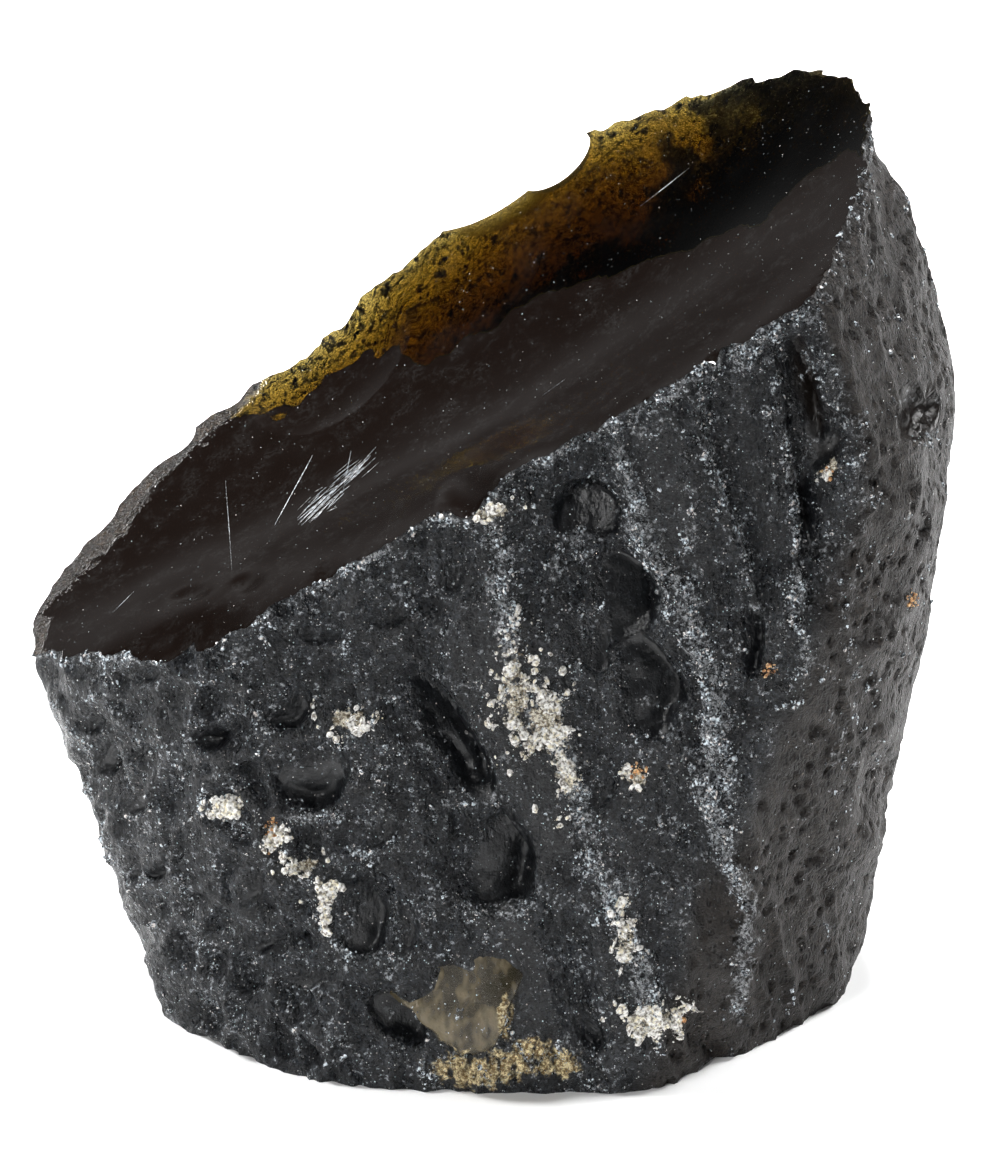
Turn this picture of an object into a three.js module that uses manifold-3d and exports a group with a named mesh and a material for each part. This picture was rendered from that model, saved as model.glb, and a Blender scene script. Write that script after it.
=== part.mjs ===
// A tektite: a broken lump of natural glass with an etched, pitted skin and one fresh fracture on top.
// Millimetres. +Z is up, +X is to the right and +Y is to the back, seen from the front.
// The origin is on the ground, under the middle of the stone's bounding box.
import * as THREE from 'three';
import { mergeVertices } from 'three/addons/utils/BufferGeometryUtils.js';
import Module from 'manifold-3d';

const wasm = await Module();
wasm.setup();

// ---- Driving dimensions: millimetres, and degrees for turns, leans and tilts ----

// The heart is the point inside the stone that the skin's faces are measured from.
const HEART = new THREE.Vector3( 0.42, - 2.94, 19 );
const SKIN_DETAIL = 20;
const SKIN_BIAS = new THREE.Vector3( 0.02, - 0.45, - 0.12 );
const EDGE_HARDNESS = 18;

// Broad faces of the weathered block. turn goes round from the front, positive to the right.
// lean is positive where the face looks up. reach is its distance from the heart.
const FACES = [
	{ name: 'front', turn: - 4, lean: 7, reach: 8.9 },
	{ name: 'front left', turn: - 38, lean: - 3, reach: 14.45 },
	{ name: 'left', turn: - 90, lean: - 19, reach: 21.3 },
	{ name: 'back left', turn: - 138, lean: - 14, reach: 17.6 },
	{ name: 'back', turn: - 172, lean: - 18, reach: 11.9 },
	{ name: 'back right', turn: 150, lean: - 8, reach: 15.1 },
	{ name: 'peak', turn: 118, lean: 19, reach: 25 },
	{ name: 'shoulder', turn: 72, lean: 22, reach: 21.9 },
	{ name: 'lower right', turn: 84, lean: - 8.5, reach: 19.3 },
	{ name: 'foot right', turn: 42, lean: - 9, reach: 16 },
	{ name: 'ground', turn: 0, lean: - 90, reach: 21.5 },
	{ name: 'crown', turn: - 77, lean: 57, reach: 13.8 },
];

// The fracture: a hollow dish of glass that dips to the left and rises a little to the back.
const FRACTURE = { level: 30.3, dip: 32, rise: 8, hollow: 2.4, length: 46, width: 27, back: 3.5 };

// A shallow scar of one flake struck off the left of the far rim.
const SCAR = { u: - 8, v: 10.8, across: 8.4, ball: 15 };

// The drawing sheet stands before the stone, tilted back, and is seen from its eye. Marks on the
// skin are placed on it: u to the right and v up, from its middle.
const SHEET = { tilt: 26, distance: 380, middle: new THREE.Vector3( 0.42, 6.66, 15.9 ) };

// A hollow is drawn as: name, u, v, half size across and along, turn of the long way to the left at
// its top, depth, and heel to the right and up, the side where it is steepest and deepest.
function hollow( [ name, u, v, across, along, turn, depth, heelRight, heelUp ] ) {

	return { name, u, v, across, along, turn, depth, heelRight, heelUp };

}

// Wide, shallow hollows of the front.
const BROAD_HOLLOWS = [
	[ 'right recess', 3.8, 1.1, 3.9, 5.6, 10, 0.9, 0.2, 0.5 ],
	[ 'right panel', 8.6, - 14.4, 2.4, 5.3, 10, 0.8, 0.7, - 0.2 ],
	[ 'foot bevel', 10, - 22.4, 3, 0.95, - 72, 0.6, 0, 0 ],
	[ 'left basin', - 8.6, - 4.2, 3.4, 2.4, - 30, 0.35, 0.2, - 0.5 ],
].map( hollow );

// Scoops, gouges and pits with crisp edges. Where two meet, the deeper one counts.
const HOLLOWS = [
	[ 'flank pit', - 18.7, - 8.4, 0.85, 1.15, 12, 0.7, 0.5, - 0.6 ],
	[ 'flank pit', - 17.5, - 10.4, 0.75, 0.95, 12, 0.6, 0.5, - 0.6 ],
	[ 'flank pit', - 17.5, - 13.3, 0.6, 0.9, 12, 0.5, 0.5, - 0.5 ],
	[ 'flank pit', - 16.3, - 13.4, 0.6, 0.7, 0, 0.5, 0.3, - 0.6 ],
	[ 'flank pit', - 15.2, - 8.9, 0.65, 0.55, 0, 0.35, 0.3, - 0.5 ],
	[ 'flank pit', - 14.9, - 14.9, 0.75, 0.75, 0, 0.4, 0.3, - 0.5 ],
	[ 'flank pit', - 16.7, - 15.3, 0.65, 1.05, 15, 0.45, 0.4, - 0.5 ],
	[ 'flank pit', - 15.2, - 19.5, 0.6, 0.9, 15, 0.4, 0.4, - 0.5 ],
	[ 'flank pit', - 19.4, - 6.5, 0.6, 0.95, 15, 0.4, 0.4, - 0.5 ],
	[ 'left pit', - 13.7, - 7.3, 1.1, 1.05, 0, 1, 0.3, - 0.7 ],
	[ 'upper left hollow', - 10.2, - 6.2, 1.5, 1.25, - 15, 0.9, 0.8, - 0.5 ],
	[ 'big left hollow', - 8.8, - 9, 2.2, 1.95, - 30, 1.25, 0.6, - 0.7 ],
	[ 'hollow bay', - 9.9, - 8.4, 1, 1.2, 20, 0.6, - 0.5, - 0.6 ],
	[ 'low left hollow', - 6.5, - 16, 1.6, 1.9, 10, 1.15, 0.4, - 0.5 ],
	[ 'rim dimple', - 12.6, - 3.3, 1.35, 0.75, 0, 0.5, 0.2, - 0.4 ],
	[ 'rim dimple', - 8.6, - 2.5, 1.2, 0.95, 0, 0.45, 0.2, - 0.4 ],
	[ 'rim dimple', - 16.8, - 4.2, 0.7, 0.6, 0, 0.4, 0.2, - 0.4 ],
	[ 'rim dimple', - 5.6, - 1.6, 1.3, 1.1, 10, 0.4, 0.4, - 0.4 ],
	[ 'rim dimple', - 2.8, 0.6, 1.2, 1.5, 10, 0.45, 0.5, - 0.3 ],
	[ 'long gouge', - 2.6, - 7.7, 1.5, 3.9, 34, 1.35, 0.95, - 0.2 ],
	[ 'lower gouge', - 0.4, - 13, 1.95, 2.6, 22, 1.35, 0.5, - 0.8 ],
	[ 'gouge shoulder', - 2.6, - 13.2, 0.75, 2.3, 6, 1.1, - 0.6, - 0.2 ],
	[ 'foot crease', 2.9, - 19.1, 0.75, 4.8, 17, 1.1, 0.9, 0 ],
	[ 'foot crease side', 1.8, - 19.4, 0.7, 4.3, 17, 0.5, 0.7, 0 ],
	[ 'foot cavity', - 4.8, - 20.7, 1, 1.8, 42, 1.2, 0.2, - 0.3 ],
	[ 'foot pit', 4.3, - 21.5, 0.72, 0.8, 0, 0.8, 0, - 0.3 ],
	[ 'arch scoop', 4.1, 2.7, 1.95, 1.7, 0, 1.35, 0, 0.75 ],
	[ 'middle scoop', 5.6, - 0.9, 1.9, 2.5, 15, 1.45, 0.85, - 0.3 ],
	[ 'lower scoop', 6.6, - 5, 2.1, 2.8, 22, 1.4, 0.9, - 0.35 ],
	[ 'side scoop', 4.2, - 2.9, 1.2, 2, 12, 0.5, 0.5, - 0.3 ],
	[ 'under scoop', 4.2, - 9.6, 1.1, 1.8, 16, 0.4, 0.6, - 0.3 ],
	[ 'under scoop', 7.6, - 10, 1, 1.6, 16, 0.35, 0.6, - 0.3 ],
	[ 'inner panel', 8.5, 4, 1.2, 3.6, 13, 0.65, 0.75, 0 ],
	[ 'middle panel', 11.9, 4.6, 1.6, 4.6, 8, 0.6, 0.8, 0 ],
	[ 'low panel', 11, - 3.2, 1, 3.2, 8, 0.35, 0.7, - 0.2 ],
	[ 'high channel', 14, 8.6, 1.25, 3.9, 15, 1.3, 0.85, - 0.1 ],
	[ 'channel foot', 15, 6.2, 1, 1.3, 0, 0.6, 0.5, - 0.5 ],
	[ 'side channel', 14.8, 3.2, 0.8, 2.6, 8, 0.6, - 0.85, 0 ],
	[ 'side facet', 15.4, 1.4, 1, 0.75, 0, 0.45, 0, - 0.8 ],
	[ 'slot', 11.9, - 2.4, 0.95, 2.4, 4, 0.6, 0.8, - 0.3 ],
	[ 'slot', 13.7, - 2.9, 0.8, 2.6, 8, 0.4, 0.7, 0 ],
	[ 'shoulder pit', 17.2, - 2.4, 0.65, 1.05, 0, 0.35, 0.2, - 0.4 ],
	[ 'side pit', 19.4, 8, 0.65, 1.5, 0, 1.2, 0, - 0.3 ],
].map( hollow );

// Raised lines on the front: half width, height and course.
const RIDGES = [
	{
		name: 'speckled ridge', width: 0.6, height: 0.4,
		course: [ [ 5.7, 6 ], [ 6.9, 2.3 ], [ 8.2, - 0.6 ], [ 9, - 1.9 ], [ 9.9, - 4.4 ], [ 10.2, - 6.9 ],
			[ 9.7, - 9.9 ], [ 10.5, - 13.3 ], [ 11.6, - 15.1 ], [ 11.6, - 18 ], [ 11, - 20 ] ],
	},
	{
		name: 'soil band', width: 0.6, height: 0.25,
		course: [ [ - 0.4, 2.7 ], [ 0.2, 0.9 ], [ 0.4, - 1.5 ], [ 0.6, - 5.1 ], [ 2, - 7.3 ], [ 3.3, - 8.8 ],
			[ 3.7, - 10.3 ], [ 4.5, - 13.1 ], [ 5.8, - 16.3 ], [ 6.5, - 17.6 ], [ 7.2, - 20.5 ] ],
	},
	{
		name: 'flank ridge', width: 0.7, height: 0.4,
		course: [ [ - 18.6, - 5.2 ], [ - 16.9, - 9 ], [ - 15.8, - 12.8 ], [ - 14.2, - 16.1 ], [ - 12.5, - 21.2 ] ],
	},
	{
		name: 'side crest', width: 0.7, height: 0.35,
		course: [ [ 14.6, 10.7 ], [ 16.6, 7.6 ], [ 16.8, 6.2 ], [ 17.2, 2 ] ],
	},
];

// A chip out of the fracture at the near rim, where the glass broke away.
const RIM_BREAK = hollow( [ 'rim break', - 0.6, 3.4, 2.2, 1.3, - 20, 0.9, 0.2, - 0.4 ] );

const BOWL_CRISPNESS = 0.85;

// Dents scattered all over the skin, the larger ones where the glass was etched most.
const DENTS = { count: 90, seed: 7, least: 1.2, most: 3.4, depth: 0.26 };

// Bites out of the far rim: place on the sheet, depth of the bite and radius of the biting ball.
const RIM_CHIPS = [
	{ u: - 20.6, v: 1, bite: 0.3, ball: 1.2 },
	{ u: - 18.6, v: 2.8, bite: 0.3, ball: 1.4 },
	{ u: - 15, v: 5.9, bite: 0.4, ball: 1.2 },
	{ u: - 12.4, v: 9.2, bite: 0.5, ball: 1.4 },
	{ u: - 9.6, v: 11.3, bite: 0.4, ball: 1.1 },
	{ u: - 7.2, v: 13.3, bite: 0.4, ball: 1.3 },
	{ u: - 4.2, v: 15.2, bite: 0.4, ball: 1.2 },
	{ u: - 1.6, v: 16.8, bite: 0.3, ball: 1.2 },
	{ u: 0.9, v: 17.6, bite: 2.7, ball: 5.5 },
	{ u: 2.9, v: 19, bite: 1.2, ball: 2 },
	{ u: 6.5, v: 21.7, bite: 0.3, ball: 1.2 },
	{ u: 9.4, v: 23.1, bite: 0.4, ball: 1 },
	{ u: 12.2, v: 23.9, bite: 0.2, ball: 1.1 },
];
const CHIPPED_FROM = new THREE.Vector2( - 0.5, 0.86 );

// A thin clear flake that still hangs on at the foot of the front, drawn on the sheet.
const FLAKE_OUTLINE = [
	[ - 5.2, - 19.6 ], [ - 4, - 18.4 ], [ - 1.9, - 18.1 ], [ - 0.7, - 17 ], [ 1.1, - 18.4 ],
	[ 0.4, - 20.4 ], [ - 0.1, - 21.7 ], [ - 0.6, - 22.1 ], [ - 2.3, - 21.9 ],
];
const FLAKE = { proud: 0.7, root: 2.2 };

// ---- The drawing sheet ----

const radians = THREE.MathUtils.degToRad;
const { clamp, smoothstep } = THREE.MathUtils;
const sheetUp = new THREE.Vector3( 0, Math.sin( radians( SHEET.tilt ) ), Math.cos( radians( SHEET.tilt ) ) );
const sheetOut = new THREE.Vector3( 0, - Math.cos( radians( SHEET.tilt ) ), Math.sin( radians( SHEET.tilt ) ) );
const eye = SHEET.middle.clone().addScaledVector( sheetOut, SHEET.distance );

// Where a point of the stone shows on the sheet.
function drawn( point ) {

	const toward = point.clone().sub( eye );
	const scale = - SHEET.distance / toward.dot( sheetOut );
	return { u: toward.x * scale, v: toward.dot( sheetUp ) * scale };

}

// The point of a plane that shows at ( u, v ) on the sheet.
function pointOnPlane( u, v, normal, level ) {

	const mark = SHEET.middle.clone().addScaledVector( sheetUp, v );
	mark.x += u;
	const ray = mark.sub( eye ).normalize();
	return eye.clone().addScaledVector( ray, ( level - eye.dot( normal ) ) / ray.dot( normal ) );

}

// ---- The weathered block ----

function facing( { turn, lean } ) {

	const flat = Math.cos( radians( lean ) );
	return new THREE.Vector3(
		Math.sin( radians( turn ) ) * flat,
		- Math.cos( radians( turn ) ) * flat,
		Math.sin( radians( lean ) )
	);

}

const planes = FACES.map( ( face ) => ( { normal: facing( face ), reach: face.reach } ) );

// How far the block reaches from its heart along a direction. High powers keep the edges crisp.
function blockReach( direction ) {

	let sum = 0;
	for ( const { normal, reach } of planes ) {

		const share = normal.dot( direction ) / reach;
		if ( share > 0 ) sum += share ** EDGE_HARDNESS;

	}

	return sum ** ( - 1 / EDGE_HARDNESS );

}

// The block's outward direction at a point of its skin.
function blockNormal( direction ) {

	const outward = new THREE.Vector3();
	for ( const { normal, reach } of planes ) {

		const share = normal.dot( direction ) / reach;
		if ( share > 0 ) outward.addScaledVector( normal, share ** ( EDGE_HARDNESS - 1 ) / reach );

	}

	return outward.normalize();

}

// ---- Relief of the skin, as depths cut inwards ----

function hollowDepth( mark, { u, v, across, along, turn, depth, heelRight, heelUp } ) {

	const side = Math.sin( radians( turn ) );
	const down = Math.cos( radians( turn ) );
	const right = ( ( mark.u - u ) * down + ( mark.v - v ) * side ) / across;
	const up = ( ( mark.v - v ) * down - ( mark.u - u ) * side ) / along;
	const bowl = 1 - right ** 2 - up ** 2;
	if ( bowl <= 0 ) return 0;
	return depth * bowl ** BOWL_CRISPNESS * Math.max( 1 + heelRight * right + heelUp * up, 0 );

}

// How far a mark on the sheet is from a course of straight runs.
function courseDistance( { u, v }, course ) {

	let nearest = Infinity;
	for ( let i = 1; i < course.length; i ++ ) {

		const [ startU, startV ] = course[ i - 1 ];
		const runU = course[ i ][ 0 ] - startU;
		const runV = course[ i ][ 1 ] - startV;
		const share = clamp( ( ( u - startU ) * runU + ( v - startV ) * runV ) / ( runU ** 2 + runV ** 2 ), 0, 1 );
		nearest = Math.min( nearest, Math.hypot( u - startU - share * runU, v - startV - share * runV ) );

	}

	return nearest;

}

function frontDepth( mark ) {

	let depth = 0;
	for ( const broad of BROAD_HOLLOWS ) depth += hollowDepth( mark, broad );
	depth += Math.max( ...HOLLOWS.map( ( one ) => hollowDepth( mark, one ) ) );
	for ( const { width, height, course } of RIDGES ) {

		depth -= height * Math.exp( - ( ( courseDistance( mark, course ) / width ) ** 2 ) );

	}

	return depth;

}

// A repeatable run of numbers between 0 and 1.
function numberRun( seed ) {

	let state = seed;
	return () => {

		state = state * 16807 % 2147483647;
		return state / 2147483647;

	};

}

// Dents sit evenly round the block on a spiral, and their sizes vary.
function scatterDents() {

	const next = numberRun( DENTS.seed );
	const goldenTurn = Math.PI * ( 3 - Math.sqrt( 5 ) );
	const dents = [];
	for ( let i = 0; i < DENTS.count; i ++ ) {

		const height = 1 - 2 * ( i + 0.5 ) / DENTS.count;
		const ring = Math.sqrt( 1 - height ** 2 );
		const turn = i * goldenTurn + next() * 0.5;
		const direction = new THREE.Vector3( Math.cos( turn ) * ring, Math.sin( turn ) * ring, height );
		const centre = direction.clone().multiplyScalar( blockReach( direction ) ).add( HEART );
		dents.push( { centre, radius: DENTS.least + ( DENTS.most - DENTS.least ) * next() ** 2 } );

	}

	return dents;

}

const dents = scatterDents();

function dentDepth( point ) {

	let depth = 0;
	for ( const { centre, radius } of dents ) {

		const bowl = 1 - point.distanceToSquared( centre ) / radius ** 2;
		if ( bowl > 0 ) depth = Math.max( depth, DENTS.depth * radius * bowl );

	}

	return depth;

}

// ---- Solids ----

function bare( geometry ) {

	geometry.deleteAttribute( 'normal' );
	geometry.deleteAttribute( 'uv' );
	return mergeVertices( geometry, 1e-5 );

}

function solid( geometry ) {

	return new wasm.Manifold( new wasm.Mesh( {
		numProp: 3,
		vertProperties: new Float32Array( geometry.attributes.position.array ),
		triVerts: new Uint32Array( geometry.index.array ),
	} ) );

}

function surface( body ) {

	const { vertProperties, triVerts } = body.getMesh();
	const geometry = new THREE.BufferGeometry();
	geometry.setAttribute( 'position', new THREE.BufferAttribute( vertProperties, 3 ) );
	geometry.setIndex( new THREE.BufferAttribute( triVerts, 1 ) );
	geometry.computeVertexNormals();
	return geometry;

}

function skin() {

	const shape = bare( new THREE.IcosahedronGeometry( 1, SKIN_DETAIL ) );
	const spots = shape.attributes.position;
	const direction = new THREE.Vector3();
	for ( let i = 0; i < spots.count; i ++ ) {

		direction.fromBufferAttribute( spots, i ).normalize().add( SKIN_BIAS ).normalize();
		const point = direction.clone().multiplyScalar( blockReach( direction ) ).add( HEART );
		const normal = blockNormal( direction );
		const facesSheet = smoothstep( normal.dot( sheetOut ), 0.02, 0.22 );
		const dents = dentDepth( point ) * ( 1 - 0.65 * facesSheet );
		point.addScaledVector( normal, - dents - frontDepth( drawn( point ) ) * facesSheet );
		spots.setXYZ( i, point.x, point.y, point.z );

	}

	return shape;

}

// The flat plane that the fracture's rim lies in.
const rimNormal = new THREE.Vector3(
	- Math.tan( radians( FRACTURE.dip ) ), - Math.tan( radians( FRACTURE.rise ) ), 1
).normalize();
const rimLevel = rimNormal.dot( new THREE.Vector3( HEART.x, HEART.y, FRACTURE.level ) );

function fractureHeight( x, y ) {

	const across = x - HEART.x;
	const back = y - HEART.y;
	const plane = FRACTURE.level + across * Math.tan( radians( FRACTURE.dip ) )
		+ back * Math.tan( radians( FRACTURE.rise ) );
	const out = ( 2 * across / FRACTURE.length ) ** 2
		+ ( 2 * ( back - FRACTURE.back ) / FRACTURE.width ) ** 2;
	return plane - FRACTURE.hollow * clamp( 1 - out, 0, 1 ) ** 2;

}

function aboveFracture() {

	const shape = bare( new THREE.BoxGeometry( 60, 46, 60, 48, 34, 1 ) );
	const spots = shape.attributes.position;
	for ( let i = 0; i < spots.count; i ++ ) {

		const lower = spots.getZ( i ) < 0;
		const height = fractureHeight( spots.getX( i ), spots.getY( i ) );
		const mark = drawn( new THREE.Vector3( spots.getX( i ), spots.getY( i ), height ) );
		spots.setZ( i, lower ? height - hollowDepth( mark, RIM_BREAK ) : 90 );

	}

	return shape;

}

function belowGround() {

	return bare( new THREE.BoxGeometry( 80, 80, 20 ).translate( 0, 0, - 10 ) );

}

// A ball that sinks into the fracture until its cap is as wide as the scar.
function scarBall() {

	const spot = pointOnPlane( SCAR.u, SCAR.v, rimNormal, rimLevel );
	spot.z = fractureHeight( spot.x, spot.y );
	const slopeX = fractureHeight( spot.x + 1, spot.y ) - spot.z;
	const slopeY = fractureHeight( spot.x, spot.y + 1 ) - spot.z;
	const upward = new THREE.Vector3( - slopeX, - slopeY, 1 ).normalize();
	spot.addScaledVector( upward, Math.sqrt( SCAR.ball ** 2 - ( SCAR.across / 2 ) ** 2 ) );
	return bare( new THREE.IcosahedronGeometry( SCAR.ball, 15 ) ).translate( spot.x, spot.y, spot.z );

}

function chipBall( { u, v, bite, ball } ) {

	const back = CHIPPED_FROM.clone().multiplyScalar( ball - bite );
	const middle = pointOnPlane( u + back.x, v + back.y, rimNormal, rimLevel );
	return bare( new THREE.IcosahedronGeometry( ball, 2 ) ).translate( middle.x, middle.y, middle.z );

}

// The flake's plate follows the front face: its outline is spread on the face and thickened.
function flakePlate() {

	const face = planes[ 0 ];
	const level = face.reach + HEART.dot( face.normal );
	const along = new THREE.Vector3( - face.normal.y, face.normal.x, 0 ).normalize();
	const up = face.normal.clone().cross( along );
	const corners = FLAKE_OUTLINE.map( ( [ u, v ] ) => {

		const point = pointOnPlane( u, v, face.normal, level );
		return new THREE.Vector2( point.dot( along ), point.dot( up ) );

	} );
	const plate = new THREE.ExtrudeGeometry( new THREE.Shape( corners ), {
		depth: FLAKE.root + FLAKE.proud, bevelEnabled: false,
	} );
	const place = new THREE.Matrix4().makeBasis( along, up, face.normal );
	place.setPosition( face.normal.clone().multiplyScalar( level - FLAKE.root ) );
	return bare( plate.applyMatrix4( place ) );

}

let stone = solid( skin() )
	.subtract( solid( aboveFracture() ) )
	.subtract( solid( scarBall() ) )
	.add( solid( flakePlate() ) )
	.subtract( solid( belowGround() ) );
for ( const chip of RIM_CHIPS ) stone = stone.subtract( solid( chipBall( chip ) ) );

const glass = new THREE.MeshStandardMaterial( { color: 0x24211f, roughness: 0.32, metalness: 0 } );
const tektite = new THREE.Mesh( surface( stone ), glass );
tektite.name = 'tektite';

const group = new THREE.Group();
group.add( tektite );
export default group;
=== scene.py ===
# A tektite: a broken lump of natural glass. The shape is worked out in millimetres and set down in
# metres at the end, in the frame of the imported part.
import math
from itertools import product

import bmesh
import bpy
import numpy as np
from mathutils import Matrix, Vector


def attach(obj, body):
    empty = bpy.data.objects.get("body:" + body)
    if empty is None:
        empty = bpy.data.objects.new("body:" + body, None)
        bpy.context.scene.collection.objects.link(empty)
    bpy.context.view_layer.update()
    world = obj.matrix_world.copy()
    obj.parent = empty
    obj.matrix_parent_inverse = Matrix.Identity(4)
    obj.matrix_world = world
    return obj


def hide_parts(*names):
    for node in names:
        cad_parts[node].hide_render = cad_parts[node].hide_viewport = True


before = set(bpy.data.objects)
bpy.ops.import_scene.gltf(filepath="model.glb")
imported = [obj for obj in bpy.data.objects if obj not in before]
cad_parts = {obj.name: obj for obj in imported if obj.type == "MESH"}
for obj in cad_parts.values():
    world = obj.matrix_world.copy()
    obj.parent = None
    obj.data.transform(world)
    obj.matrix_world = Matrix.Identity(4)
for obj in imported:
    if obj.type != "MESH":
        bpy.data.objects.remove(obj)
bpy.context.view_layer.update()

MM = 0.001

# ---- Driving dimensions: millimetres, and degrees for turns, leans and tilts ----

HEART = np.array([0.42, -2.94, 19.0])
EDGE_HARDNESS = 18

# Broad faces of the weathered block: name, turn from the front, lean upwards, reach from the heart.
FACES = (
    ("front", -4, 7, 8.9),
    ("front left", -38, -3, 14.45),
    ("left", -90, -19, 21.3),
    ("back left", -138, -14, 17.6),
    ("back", -172, -18, 11.9),
    ("back right", 150, -8, 15.1),
    ("peak", 118, 19, 25.0),
    ("shoulder", 72, 22, 21.9),
    ("lower right", 84, -8.5, 19.3),
    ("foot right", 42, -9, 16.0),
    ("ground", 0, -90, 21.5),
    ("crown", -77, 57, 13.8),
)

# The fracture: a hollow dish of glass that dips to the left and rises a little to the back.
FRACTURE = dict(level=30.3, dip=32, rise=8, hollow=2.4, length=46, width=27, back=3.5)

# A shallow scar of one flake struck off the left of the far rim.
SCAR = dict(u=-8.0, v=10.8, across=8.4, ball=15.0)

# The drawing sheet stands before the stone, tilted back, and is seen from its eye. Marks on the
# stone are placed on it: u to the right and v up, from its middle.
SHEET_TILT = 26.0
SHEET_DISTANCE = 380.0
SHEET_MIDDLE = np.array([0.42, 6.66, 15.9])
SHEET_HEIGHT = 1157 * 0.047

# Wide, soft hollows: name, u, v, half size across and along, turn of the long way to the left at
# its top, depth, and heel to the right and up, the side where a hollow is deepest.
BROAD_HOLLOWS = (
    ("right recess", 3.8, 1.1, 4.1, 5.8, 10, 0.9, 0.3, 0.5),
    ("right panel", 8.6, -14.4, 2.4, 5.3, 10, 0.6, 0.7, -0.2),
    ("foot bevel", 10.0, -22.4, 3.0, 0.95, -72, 0.6, 0, 0),
    ("left basin", -8.6, -4.2, 3.4, 2.4, -30, 0.35, 0.2, -0.5),
    ("low left basin", -10.4, -17.0, 3.0, 3.4, 10, 0.3, 0.4, -0.4),
    ("upper panels", 12.0, 5.0, 3.6, 6.5, 8, 0.5, 0.4, 0),
)

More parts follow.
